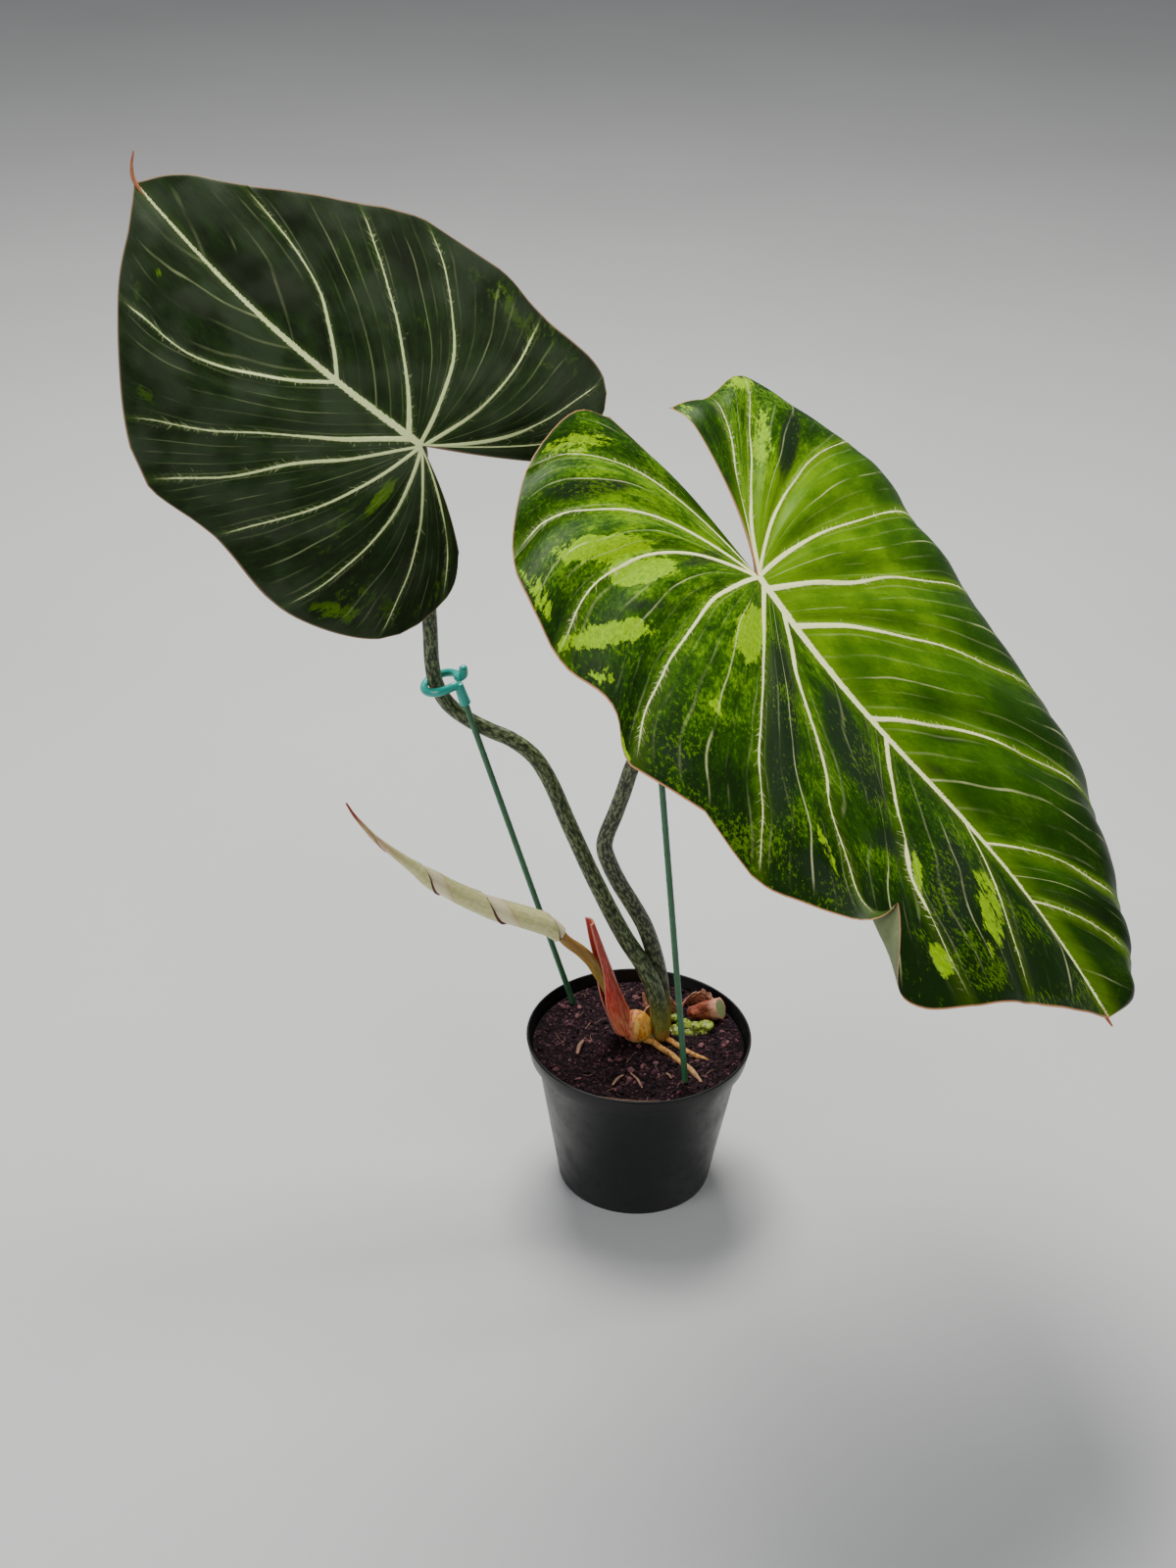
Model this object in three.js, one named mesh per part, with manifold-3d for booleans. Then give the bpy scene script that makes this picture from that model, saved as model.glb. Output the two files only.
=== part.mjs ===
// Philodendron gloriosum in a nursery pot, millimetres, +Z up.
// The origin is the middle of the pot's flat base. The plant's front faces -Y.
import * as THREE from 'three';
import { mergeVertices } from 'three/addons/utils/BufferGeometryUtils.js';
import Module from 'manifold-3d';

const wasm = await Module();
wasm.setup();

// ---------------------------------------------------------------- driving dimensions

const GAP = 0.3; // clearance between pieces that touch
const SLIVER = 0.006; // facets thinner than this are dropped
const ROUND = 44; // facets round the pot and the soil

const POT = {
  height: 105,
  rimRadius: 70,
  collarHeight: 12.5,
  collarRadius: 67.8,
  neckRadius: 63.6,
  baseRadius: 48,
  wall: 1.4,
  channelInner: 30,
  channelOuter: 44.5,
  channelDepth: 2.5,
  drainCount: 8,
  drainRadius: 4,
};

const SOIL = { level: 97, lump: 0.6 };
const BLADE_THICKNESS = 0.7;
const SHEATH_THICKNESS = 0.9;
const NECK_LENGTH = 34; // top of the petiole that is one with the blade
const STAKE_RADIUS = 2;

// Each half of a blade is a fan of spokes from the midrib to the margin. A spoke is
// [start along the midrib, bow point along, bow point out, margin along, margin out, vein width];
// a width of 0 marks a spoke that only shapes the margin.
const FRONT_BLADE = {
  origin: [54, -30, 436],
  along: [0.661, -0.497, -0.562],
  up: [0.469, -0.312, 0.827],
  length: 302,
  droop: 0.0004,
  twist: 0.0004,
  swing: [0, 7],
  quilt: 3,
  rows: [0.06, 0.19, 0.34, 0.5, 0.66, 0.79, 0.87, 0.94, 1],
  midrib: [3.6, 3, 2.4, 1.8, 1.2, 0.6],
  tip: [[295, 0.3, -0.45], [300, 0.2, -0.3], [303.5, 0.3, -0.2], [306.5, 0.8, 0]],
  halves: [
    {
      side: 1,
      rise: 0.24,
      bend: 295,
      roll: 0,
      ruffle: { spoke: 9.55, spread: 0.62, from: 0.84, turn: 125 },
      spokes: [
        [0, -70, -10, -122, 2, 0],
        [0, -100, -10, -131, 32, 0],
        [0, -124, 6, -113, 90, 1.6],
        [0, -106, 52, -74, 138, 2.6],
        [0, -73, 78, -18, 159, 3],
        [0, -40, 86, 19, 155, 0],
        [0, -9, 91, 50, 166, 3],
        [2, 26, 84, 90, 154, 0],
        [6, 60, 80, 135, 158, 3],
        [24, 92, 64, 188, 138, 2.8],
        [70, 138, 72, 208, 150, 0],
        [92, 152, 80, 230, 142, 0],
        [112, 164, 92, 247, 110, 2.8],
        [172, 212, 26, 267, 68, 1.5],
        [240, 262, 14, 285, 38, 0],
        [302, 302, 0, 302, 0, 0],
      ],
    },
    {
      side: -1,
      rise: 0.255,
      bend: 300,
      roll: 9,
      spokes: [
        [0, -56, 34, -112, 42, 0],
        [0, -64, 42, -106, 72, 1.2],
        [0, -60, 44, -109, 113, 2.4],
        [0, -58, 62, -80, 129, 0],
        [0, -54, 70, -42, 163, 2.6],
        [0, -34, 74, -14, 170, 0],
        [0, -10, 76, 20, 170, 2.8],
        [8, 35, 70, 72, 176, 3],
        [24, 58, 74, 104, 162, 0],
        [34, 77, 84, 156, 152, 3],
        [70, 110, 72, 188, 134, 0],
        [99, 140, 68, 218, 108, 2.6],
        [188, 214, 36, 266, 70, 1.2],
        [228, 246, 22, 292, 50, 1],
        [270, 290, 14, 304, 28, 0],
        [302, 302, 0, 302, 0, 0],
      ],
    },
  ],
};

const REAR_BLADE = {
  origin: [-133, 30, 482.5],
  along: [-0.709, 0.084, 0.7],
  up: [0.331, -0.837, 0.436],
  length: 211,
  droop: 0.0015,
  twist: -0.0001,
  swing: [-9.5, 0],
  quilt: 2,
  rows: [0.06, 0.2, 0.37, 0.55, 0.73, 0.88, 1],
  midrib: [3.2, 2.6, 2, 1.4, 1, 0.6],
  tip: [[204, -0.5, -0.3], [213, 1.5, 0.4], [218, 6, 2], [222, 12.5, 4]],
  halves: [
    {
      side: -1,
      rise: 0.09,
      bend: 227,
      roll: 0,
      spokes: [
        [0, -30, 12, -56, 28, 0],
        [0, -44, 20, -69, 52, 1.8],
        [0, -50, 50, -58, 95, 2.2],
        [0, -29, 57, -6, 121, 2.4],
        [0, 10, 66, 50, 110, 2.4],
        [0, 46, 60, 96, 111, 2.6],
        [8, 66, 51, 130, 92, 2.6],
        [58, 112, 52, 176, 48, 2.4],
        [110, 152, 22, 196, 19, 0],
        [211, 211, 0, 211, 0, 0],
      ],
    },
    {
      side: 1,
      rise: 0.125,
      bend: 300,
      roll: 0,
      spokes: [
        [0, -34, 22, -66, 50, 0],
        [0, -40, 38, -70, 74, 1.6],
        [0, -52, 47, -52, 106, 2.4],
        [0, -20, 54, -2, 105, 2.4],
        [0, 0, 70, 34, 111, 0],
        [2, 18, 76, 82, 106, 2.6],
        [10, 54, 59, 116, 85, 2.4],
        [58, 100, 47, 165, 46, 2.4],
        [112, 150, 22, 195, 22, 0],
        [211, 211, 0, 211, 0, 0],
      ],
    },
  ],
};

// Centre lines, base first. The two long petioles end under the base of their blades.
const REAR_PETIOLE = [
  [14, 9, 86], [13.5, 8, 103], [10, 8, 127], [2, 11, 147], [-11, 15, 167], [-29, 23, 200],
  [-45.5, 30, 235], [-60, 36, 267], [-69, 38, 280.5], [-82, 40, 290], [-95, 41, 295.5],
  [-108.5, 41, 303], [-120, 41, 313], [-126.5, 41, 325], [-129, 40, 338], [-130, 38, 365],
  [-132, 34.5, 417], [-134, 33.5, 466], [-134.8, 34, 480.4], [-144, 33.4, 491.5],
];
const FRONT_PETIOLE = [
  [16, 21, 86], [15, 20, 101], [13, 20, 125], [9, 19.5, 147], [1.5, 17, 173], [-6.5, 14, 191],
  [-14.5, 11, 207], [-21.5, 8, 224], [-25, 6, 237], [-24, 5, 246], [-19.5, 2, 262],
  [-14.5, -2, 282], [-10, -5, 301], [3, -13, 336], [18, -19, 365], [37.5, -25, 405],
  [49.5, -28.5, 427], [52.7, -29.2, 431.1], [62.4, -36.3, 425.8],
];
const NEW_PETIOLE = [
  [-7.5, 6, 105], [-10.8, 5.8, 113], [-14.8, 5.3, 123], [-20.5, 4.2, 137], [-26.3, 2.6, 148.5],
  [-31, 0.5, 158], [-37.5, -2, 167], [-46, -5, 176], [-50, -6, 181.5],
];
const ROLLED_LEAF = [
  [-50.3, -6.1, 181.9], [-57, -7, 188], [-70, -8, 194], [-86.5, -9, 200], [-102, -10, 207],
  [-117.5, -11, 216], [-133, -12, 227.5], [-147.5, -13, 240], [-158, -14, 250],
  [-165.5, -15, 259.5], [-172, -15, 268.5], [-176, -15, 276],
];
const RHIZOME = [[52, 17, 90], [43, 16, 93], [30, 15, 93.5], [17, 12.5, 93], [6, 9.5, 96], [-1, 7, 101]];
const BUD = { centre: [-1.6, 6, 105.5], size: [10, 8.5, 11.5], lean: 0.22 };
const STUB = [[33.5, 33, 95], [42.5, 31, 100.5], [51.5, 27.5, 105.3]];
const FRONT_ROOT = [
  [3, 3, 97], [8, 0, 99], [13, -6, 99], [20, -13, 99], [25.5, -20, 98.5], [31.5, -26, 98],
  [35.5, -33.5, 97.5], [39, -38.5, 95], [40, -40, 91],
];
const SIDE_ROOT = [
  [18, 6, 96], [20, 1.5, 98.5], [24, -3.5, 99], [30, -9.5, 99], [37, -13.5, 98], [43, -14.8, 96],
  [45.5, -15, 91],
];
const CATAPHYLL = [
  [-8, 6, 103], [-12.8, 6, 115], [-19.5, 5.7, 133], [-24.8, 5.3, 150], [-30, 5, 167], [-34.6, 5, 184],
];

const LEFT_STAKE = { foot: [-27, 42.3, 50], top: [-112.8, 33.2, 329] };
const RIGHT_STAKE = { foot: [33.2, -41, 52], top: [2.7, -25.4, 338] };
const CLIP = {
  rod: 2.3,
  loop: 10.7,
  reach: 12.8,
  sleeveRadius: 3.2,
  sleeveLength: 15,
  sleeveTop: 3,
  socket: 11.5,
};

const COLOURS = {
  pot: 0x1b1c1b,
  soil: 0x2a1a14,
  rhizome: 0x9aa83a,
  petiole: 0x4d5636,
  rearLeaf: 0x2e4429,
  frontLeaf: 0x6f9a2b,
  cataphyll: 0xb5382c,
  newPetiole: 0x8a6428,
  rolledLeaf: 0xb4bf8b,
  stub: 0x8c4630,
  drySheath: 0xa36a3c,
  root: 0xc98a3c,
  stake: 0x2f6b45,
  clip: 0x35b8a0,
};

// ---------------------------------------------------------------- meshes and solids

const vec = (p) => new THREE.Vector3(...p);

function weld(geometry) {
  const bare = geometry.clone();
  bare.deleteAttribute('normal');
  bare.deleteAttribute('uv');
  const welded = mergeVertices(bare, 1e-3);
  const index = welded.index.array;
  const kept = [];
  for (let i = 0; i < index.length; i += 3) {
    const [a, b, c] = [index[i], index[i + 1], index[i + 2]];
    if (a !== b && b !== c && c !== a) kept.push(a, b, c);
  }
  welded.setIndex(kept);
  return welded;
}

function signedVolume(geometry) {
  const { position } = geometry.attributes;
  const index = geometry.index.array;
  const [a, b, c] = [new THREE.Vector3(), new THREE.Vector3(), new THREE.Vector3()];
  let sum = 0;
  for (let i = 0; i < index.length; i += 3) {
    a.fromBufferAttribute(position, index[i]);
    b.fromBufferAttribute(position, index[i + 1]);
    c.fromBufferAttribute(position, index[i + 2]);
    sum += a.dot(b.cross(c));
  }
  return sum / 6;
}

function facingOut(geometry) {
  const welded = weld(geometry);
  if (signedVolume(welded) < 0) welded.setIndex(Array.from(welded.index.array).reverse());
  return welded;
}

function toSolid(geometry) {
  const closed = facingOut(geometry);
  const vertProperties = new Float32Array(closed.attributes.position.array);
  const triVerts = new Uint32Array(closed.index.array);
  return new wasm.Manifold(new wasm.Mesh({ numProp: 3, vertProperties, triVerts }));
}

function toGeometry(solid) {
  const mesh = solid.simplify(SLIVER).getMesh();
  const geometry = new THREE.BufferGeometry();
  geometry.setAttribute('position', new THREE.BufferAttribute(new Float32Array(mesh.vertProperties), 3));
  geometry.setIndex(Array.from(mesh.triVerts));
  return geometry;
}

function fuse(first, ...others) {
  return toGeometry(others.reduce((sum, other) => sum.add(toSolid(other)), toSolid(first)));
}

// Cuts the tools out of a body and drops any loose crumbs that are left.
function carve(body, ...tools) {
  const rest = tools.reduce((left, tool) => left.subtract(toSolid(tool)), toSolid(body));
  const pieces = rest.decompose().sort((p, q) => q.volume() - p.volume());
  return toGeometry(pieces[0]);
}

// A closed round bar bent along a centre line. radius(s, angle) is its radius at the share s of its
// length, from and to pick a stretch of the line, and pad lengthens both ends.
function bar(points, radius, { sides = 10, steps = 24, from = 0, to = 1, pad = 0 } = {}) {
  const curve = smoothLine(points);
  const fine = 400;
  const frames = curve.computeFrenetFrames(fine, false);
  const geometry = new THREE.CylinderGeometry(1, 1, 1, sides, steps, false);
  const { position } = geometry.attributes;
  for (let i = 0; i < position.count; i += 1) {
    const s = position.getY(i) + 0.5;
    const across = Math.hypot(position.getX(i), position.getZ(i));
    const angle = Math.atan2(-position.getZ(i), position.getX(i));
    const u = THREE.MathUtils.lerp(from, to, s);
    const frame = Math.min(fine, Math.max(0, Math.round(u * fine)));
    const reach = across < 0.5 ? 0 : radius(s, angle);
    const point = curve.getPointAt(Math.min(1, Math.max(0, u)));
    point.addScaledVector(frames.normals[frame], reach * Math.cos(angle));
    point.addScaledVector(frames.binormals[frame], reach * Math.sin(angle));
    if (s < 0.001 || s > 0.999) point.addScaledVector(frames.tangents[frame], pad * Math.sign(s - 0.5));
    position.setXYZ(i, point.x, point.y, point.z);
  }
  return facingOut(geometry);
}

// Radius that runs smoothly through values spaced evenly along a bar.
function through(values) {
  const curve = new THREE.SplineCurve(values.map((value, i) => new THREE.Vector2(i, value)));
  return (s) => curve.getPoint(Math.min(1, Math.max(0, s))).y;
}

const smoothLine = (points) => new THREE.CatmullRomCurve3(points.map(vec), false, 'centripetal');

// A grid on a unit square, moved to place(u, v), which gives { point, above, below }.
function skin(columns, rows, place) {
  const plane = new THREE.PlaneGeometry(1, 1, columns, rows);
  const { position } = plane.attributes;
  const offsets = new Float32Array(position.count * 2);
  for (let i = 0; i < position.count; i += 1) {
    const { point, above, below } = place(position.getX(i) + 0.5, 0.5 - position.getY(i));
    position.setXYZ(i, point.x, point.y, point.z);
    offsets.set([above, below], i * 2);
  }
  plane.setAttribute('offsets', new THREE.BufferAttribute(offsets, 2));
  return plane;
}

// Gives a skin its thickness: both faces are split alike, and a rim closes every free edge.
function thicken(surface) {
  const middle = weld(surface);
  middle.computeVertexNormals();
  const { position, normal, offsets } = middle.attributes;
  const index = Array.from(middle.index.array);
  const count = position.count;
  const points = new Float32Array(count * 6);
  const point = new THREE.Vector3();
  const direction = new THREE.Vector3();
  for (let i = 0; i < count; i += 1) {
    direction.fromBufferAttribute(normal, i);
    point.fromBufferAttribute(position, i).addScaledVector(direction, offsets.getX(i));
    point.toArray(points, i * 3);
    point.fromBufferAttribute(position, i).addScaledVector(direction, -offsets.getY(i));
    point.toArray(points, (count + i) * 3);
  }
  const faces = [];
  const edges = new Set();
  for (let i = 0; i < index.length; i += 3) {
    const [a, b, c] = index.slice(i, i + 3);
    faces.push(a, b, c, count + a, count + c, count + b);
    for (const [p, q] of [[a, b], [b, c], [c, a]]) edges.add(p * count + q);
  }
  for (const edge of edges) {
    const [p, q] = [Math.floor(edge / count), edge % count];
    if (!edges.has(q * count + p)) faces.push(q, p, count + p, q, count + p, count + q);
  }
  const solid = new THREE.BufferGeometry();
  solid.setAttribute('position', new THREE.BufferAttribute(points, 3));
  solid.setIndex(faces);
  return facingOut(solid);
}

// ---------------------------------------------------------------- leaf blades

function between(spokes, a) {
  const last = spokes.length - 1;
  const k = Math.min(Math.floor(a), last - 1);
  const f = a - k;
  const pick = (i) => spokes[Math.min(last, Math.max(0, i))];
  const [p0, p1, p2, p3] = [pick(k - 1), pick(k), pick(k + 1), pick(k + 2)];
  return p1.map((value, i) => {
    const slope = p2[i] - p0[i];
    const curve = 2 * p0[i] - 5 * value + 4 * p2[i] - p3[i];
    const twist = 3 * value - p0[i] - 3 * p2[i] + p3[i];
    return value + 0.5 * f * (slope + f * (curve + f * twist));
  });
}

// Whole numbers on veins, with even steps from one vein to the next.
function panelAt(spokes, a) {
  const marks = [0];
  spokes.forEach((spoke, i) => {
    if (spoke[5] > 0) marks.push(i);
  });
  marks.push(spokes.length - 1);
  const k = Math.max(0, marks.findLastIndex((mark) => mark <= a));
  if (k >= marks.length - 1) return marks.length - 1;
  return k + (a - marks[k]) / (marks[k + 1] - marks[k]);
}

// A place given along the midrib, sideways and upwards, once the midrib swings, droops and twists.
function onBlade(blade, along, sideways, upwards) {
  const share = Math.min(1, Math.max(0, along / blade.length));
  const swing = blade.swing[0] * Math.sin(Math.PI * share) + blade.swing[1] * Math.sin(2 * Math.PI * share);
  const twist = blade.twist * along;
  const fall = blade.droop * along;
  const y = (sideways + swing) * Math.cos(twist) - upwards * Math.sin(twist);
  const z = (sideways + swing) * Math.sin(twist) + upwards * Math.cos(twist);
  const axis = vec(blade.along).normalize();
  const up = vec(blade.up).addScaledVector(axis, -vec(blade.up).dot(axis)).normalize();
  const place = vec(blade.origin).addScaledVector(new THREE.Vector3().crossVectors(axis, up), y);
  place.addScaledVector(axis, Math.sin(fall) / blade.droop + z * Math.sin(fall));
  return place.addScaledVector(up, (Math.cos(fall) - 1) / blade.droop + z * Math.cos(fall));
}

// How far along and out a spoke has come at t. Near a ruffle its outer stretch curls up off the blade.
function onSpoke(half, a, t) {
  const [start, bowAlong, bowOut, edgeAlong, edgeOut] = between(half.spokes, a);
  const at = (s) => ({
    along: (1 - s) ** 2 * start + 2 * s * (1 - s) * bowAlong + s * s * edgeAlong,
    out: 2 * s * (1 - s) * bowOut + s * s * edgeOut,
  });
  const { spoke, spread, from, turn } = half.ruffle ?? { spoke: 0, spread: 1, from: 1, turn: 0 };
  const bend = THREE.MathUtils.degToRad(turn) * Math.exp(-(((a - spoke) / spread) ** 2));
  if (t <= from || bend < 0.02) return { ...at(t), curl: 0 };
  const foot = at(from);
  const [ahead, aside] = [at(1).along - foot.along, at(1).out - foot.out];
  const angle = (bend * (t - from)) / (1 - from);
  return {
    along: foot.along + (ahead * Math.sin(angle)) / bend,
    out: foot.out + (aside * Math.sin(angle)) / bend,
    curl: (Math.hypot(ahead, aside) * (1 - Math.cos(angle))) / bend,
  };
}

// Point of a half blade: a counts its spokes from the sinus to the tip, t runs from midrib to margin.
function bladePoint(blade, half, a, t) {
  const { along, out, curl } = onSpoke(half, a, t);
  let lift = curl + blade.quilt * Math.sin(Math.PI * panelAt(half.spokes, a)) ** 2 * Math.min(1, t / 0.35);
  lift -= half.roll * Math.max(0, (t - 0.8) / 0.2) ** 2 * Math.min(1, (half.spokes.length - 1 - a) / 1.5);
  const slope = half.rise - out / half.bend;
  const y = half.side * (half.bend * (Math.sin(half.rise) - Math.sin(slope)) - lift * Math.sin(slope));
  const z = half.bend * (Math.cos(slope) - Math.cos(half.rise)) + lift * Math.cos(slope);
  return onBlade(blade, along, y, z);
}

// Columns on every spoke, beside every vein and midway between, and closer together at a ruffle.
function columnsOf(half) {
  const foot = 0.12;
  const last = half.spokes.length - 1;
  const ruffle = half.ruffle ? half.ruffle.spoke - 0.5 : -last;
  const spots = [];
  half.spokes.forEach((spoke, i) => {
    const width = spoke[5];
    if (width > 0) spots.push({ a: i - foot, width: 0 });
    spots.push({ a: i, width });
    if (width > 0) spots.push({ a: i + foot, width: 0 });
    const steps = Math.abs(i - ruffle) < 1 ? [0.25, 0.5, 0.75] : [0.5];
    if (i < last) spots.push(...steps.map((step) => ({ a: i + step, width: 0 })));
  });
  return spots;
}

// The whole blade as one sheet. Both halves share the points along the midrib: a strip of triangles
// joins those to the first row of each half, and the last column of each half is the tip itself.
function bladeSheet(blade) {
  const points = [];
  const offsets = [];
  const faces = [];
  const put = (point, above, below) => {
    points.push(...point.toArray());
    offsets.push(above, below);
    return offsets.length / 2 - 1;
  };
  const fans = blade.halves.map((half) => ({ half, columns: columnsOf(half) }));
  const startOf = (half) => columnsOf(half).map(({ a }) => Math.round(between(half.spokes, a)[0]));
  const starts = [...new Set(blade.halves.flatMap(startOf))].sort((p, q) => p - q);
  const stations = starts.filter((start, i) => i === 0 || start - starts[i - 1] > 1);
  const size = through(blade.midrib);
  const spine = stations.map((start) =>
    put(onBlade(blade, start, 0, 0), BLADE_THICKNESS / 2, size(start / blade.length)),
  );
  for (const { half, columns } of fans) {
    const face = (p, q, r) => {
      if (p !== q && q !== r && r !== p) faces.push(...(half.side > 0 ? [p, q, r] : [p, r, q]));
    };
    const grid = columns.map(({ a, width }) =>
      blade.rows.map((t) => {
        if (a === half.spokes.length - 1) return spine.at(-1);
        const rib = width * 0.5 * (1 - 0.8 * t);
        const [above, below] = [BLADE_THICKNESS / 2 - 0.3 * rib, BLADE_THICKNESS / 2 + rib];
        return put(bladePoint(blade, half, a, t), above, below);
      }),
    );
    let station = 0;
    for (let k = 0; k < columns.length - 1; k += 1) {
      const [near, far] = [grid[k], grid[k + 1]];
      face(spine[station], near[0], far[0]);
      const reached = k === columns.length - 2 ? Infinity : between(half.spokes, columns[k + 1].a)[0];
      while (station < stations.length - 1 && stations[station + 1] <= reached + 1) {
        face(spine[station], far[0], spine[station + 1]);
        station += 1;
      }
      for (let row = 0; row < blade.rows.length - 1; row += 1) {
        face(near[row], near[row + 1], far[row]);
        face(far[row], near[row + 1], far[row + 1]);
      }
    }
  }
  const sheet = new THREE.BufferGeometry();
  sheet.setAttribute('position', new THREE.BufferAttribute(new Float32Array(points), 3));
  sheet.setAttribute('offsets', new THREE.BufferAttribute(new Float32Array(offsets), 2));
  sheet.setIndex(faces);
  return sheet;
}

function leaf(blade, petiole) {
  const neckSize = through([4.3, 4.2, 4, 3.2, 1.8]);
  const neck = bar(petiole, neckSize, { sides: 8, steps: 8, from: neckStart(petiole) });
  const tipPath = blade.tip.map((place) => onBlade(blade, ...place).toArray());
  const tip = bar(tipPath, through([0.9, 1, 0.9, 0.5]), { sides: 6, steps: 6 });
  return fuse(thicken(bladeSheet(blade)), neck, tip);
}

const neckStart = (petiole) => 1 - NECK_LENGTH / smoothLine(petiole).getLength();
const petioleEnd = (petiole) => neckStart(petiole) - GAP / smoothLine(petiole).getLength();

// ---------------------------------------------------------------- pot and soil

function turned(pairs) {
  const outline = pairs.map(([radius, height]) => new THREE.Vector2(radius, height));
  return facingOut(new THREE.LatheGeometry(outline, ROUND).rotateX(Math.PI / 2));
}

function pot() {
  const { height, rimRadius, collarHeight, collarRadius, neckRadius, baseRadius, wall } = POT;
  const { channelInner, channelOuter, channelDepth, drainCount, drainRadius } = POT;
  const step = height - collarHeight;
  const shell = turned([
    [0, 0],
    [channelInner, 0],
    [channelInner + 1.5, channelDepth],
    [channelOuter - 1.5, channelDepth],
    [channelOuter, 0],
    [baseRadius, 0],
    [neckRadius, step],
    [collarRadius, step + 0.8],
    [rimRadius, height - 1],
    [rimRadius - 0.5, height],
    [rimRadius - wall, height],
    [rimRadius - wall - 0.4, height - 1],
    [collarRadius - wall, step + 0.8 + wall],
    [neckRadius - wall, step + wall],
    [baseRadius - wall, wall],
    [channelOuter + 0.4, wall],
    [channelOuter - 1.2, channelDepth + wall],
    [channelInner + 1.2, channelDepth + wall],
    [channelInner - 0.4, wall],
    [0, wall],
  ]);
  const ring = (channelInner + channelOuter) / 2;
  const drains = [];
  for (let i = 0; i < drainCount; i += 1) {
    const turn = ((i + 0.5) / drainCount) * 2 * Math.PI;
    const drain = new THREE.CylinderGeometry(drainRadius, drainRadius, 12, 10).rotateX(Math.PI / 2);
    drains.push(drain.translate(ring * Math.cos(turn), ring * Math.sin(turn), channelDepth));
  }
  return carve(shell, ...drains);
}

function soil(holes) {
  const { height, collarHeight, collarRadius, neckRadius, baseRadius, wall, channelDepth } = POT;
  const floor = channelDepth + wall + GAP;
  const step = height - collarHeight + wall;
  const taper = (neckRadius - baseRadius) / (step - wall);
  const bottom = baseRadius + taper * (floor - wall) - wall - 2 * GAP;
  const top = neckRadius - wall - 2 * GAP;
  const brim = collarRadius - wall - 2 * GAP;
  const tub = turned([
    [0, floor],
    [bottom, floor],
    [top, step],
    [brim, step + 1.6],
    [brim, height],
    [0, height],
  ]);
  const ground = new THREE.BoxGeometry(2 * brim + 4, 2 * brim + 4, SOIL.level, 12, 12, 1);
  const { position } = ground.translate(0, 0, SOIL.level / 2).attributes;
  for (let i = 0; i < position.count; i += 1) {
    const [x, y, z] = [position.getX(i), position.getY(i), position.getZ(i)];
    const wave = Math.sin(0.23 * x + 1.1) * Math.cos(0.21 * y) + 0.7 * Math.sin(0.41 * x - 0.37 * y + 0.6);
    if (z > SOIL.level / 2) position.setZ(i, z + SOIL.lump * wave);
  }
  return carve(toGeometry(toSolid(tub).intersect(toSolid(ground))), ...holes);
}

// ---------------------------------------------------------------- crown of the plant

// Old leaf scars swell the creeping stem, and its growing tip is a round bud.
function rhizome(extra = 0) {
  const size = through([5.2, 6.4, 6.8, 7, 7, 6]);
  const swell = (s) => 0.6 * Math.sin(s * 40);
  const stem = bar(RHIZOME, (s) => size(s) + swell(s) + extra, { sides: 12, steps: 16, pad: extra });
  const bud = new THREE.SphereGeometry(1, 14, 10).rotateX(Math.PI / 2);
  bud.scale(...BUD.size.map((half) => half + extra)).rotateY(-BUD.lean).translate(...BUD.centre);
  return fuse(stem, bud);
}

const petioleRadii = {
  rear: [6, 5.4, 5, 4.8, 4.6, 4.5, 4.4, 4.3],
  front: [5.8, 5.3, 5, 5, 4.7, 4.5, 4.4, 4.3],
};

function petiole(points, radii, steps, extra = 0) {
  const size = through(radii);
  return bar(points, (s) => size(s) + extra, { sides: 8, steps, to: petioleEnd(points), pad: extra });
}

// An open gutter round a centre line: span is the angle it covers and facing the side it is open to.
function gutter({ points, radius, span, facing, columns, rows }, from = 0, slack = 0, extra = 0) {
  const half = (SHEATH_THICKNESS + extra) / 2;
  const curve = smoothLine(points);
  const back = curve.getTangent(0).multiplyScalar(-1);
  const size = through(radius);
  const cover = through(span);
  return thicken(
    skin(columns, rows, (u, v) => {
      const s = THREE.MathUtils.lerp(from, 1, v);
      const point = curve.getPointAt(Math.max(0, s));
      point.addScaledVector(back, Math.max(0, -s) * curve.getLength());
      const turn = THREE.MathUtils.degToRad(facing + 180 + (u - 0.5) * (cover(s) + slack));
      point.x += size(s) * Math.cos(turn);
      point.y += size(s) * Math.sin(turn);
      return { point, above: half, below: half };
    }),
  );
}

const SHEATHS = {
  cataphyll: {
    points: CATAPHYLL,
    radius: [7, 6.6, 6.2, 5.6, 4.6, 2.6],
    span: [336, 320, 262, 190, 150, 110],
    facing: 205,
    columns: 12,
    rows: 8,
  },
  base_sheath: {
    points: [[14.5, 14.5, 92], [14.5, 15, 106], [15.5, 16, 116]],
    radius: [13.4, 13.6, 14.2],
    span: [300, 220, 60],
    facing: 268,
    columns: 12,
    rows: 5,
  },
  dry_sheath: {
    points: [[37, 33, 92], [37, 33, 101], [38, 34, 108]],
    radius: [10, 10.6, 11.4],
    span: [190, 170, 70],
    facing: 250,
    columns: 10,
    rows: 5,
  },
  dry_scale: {
    points: [[3, 33, 92], [2.6, 33, 102], [1.2, 34, 112]],
    radius: [3.4, 3.2, 1.2],
    span: [150, 140, 100],
    facing: 200,
    columns: 4,
    rows: 4,
  },
};

const sheath = (name) => gutter(SHEATHS[name]);
const sheathHole = (name) => gutter(SHEATHS[name], -0.04, 12, 4 * GAP);

function newPetiole(extra = 0) {
  const size = through([4.2, 4.2, 4, 3.8, 3.3]);
  return bar(NEW_PETIOLE, (s) => size(s) + extra, { sides: 8, steps: 13, pad: extra });
}

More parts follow.
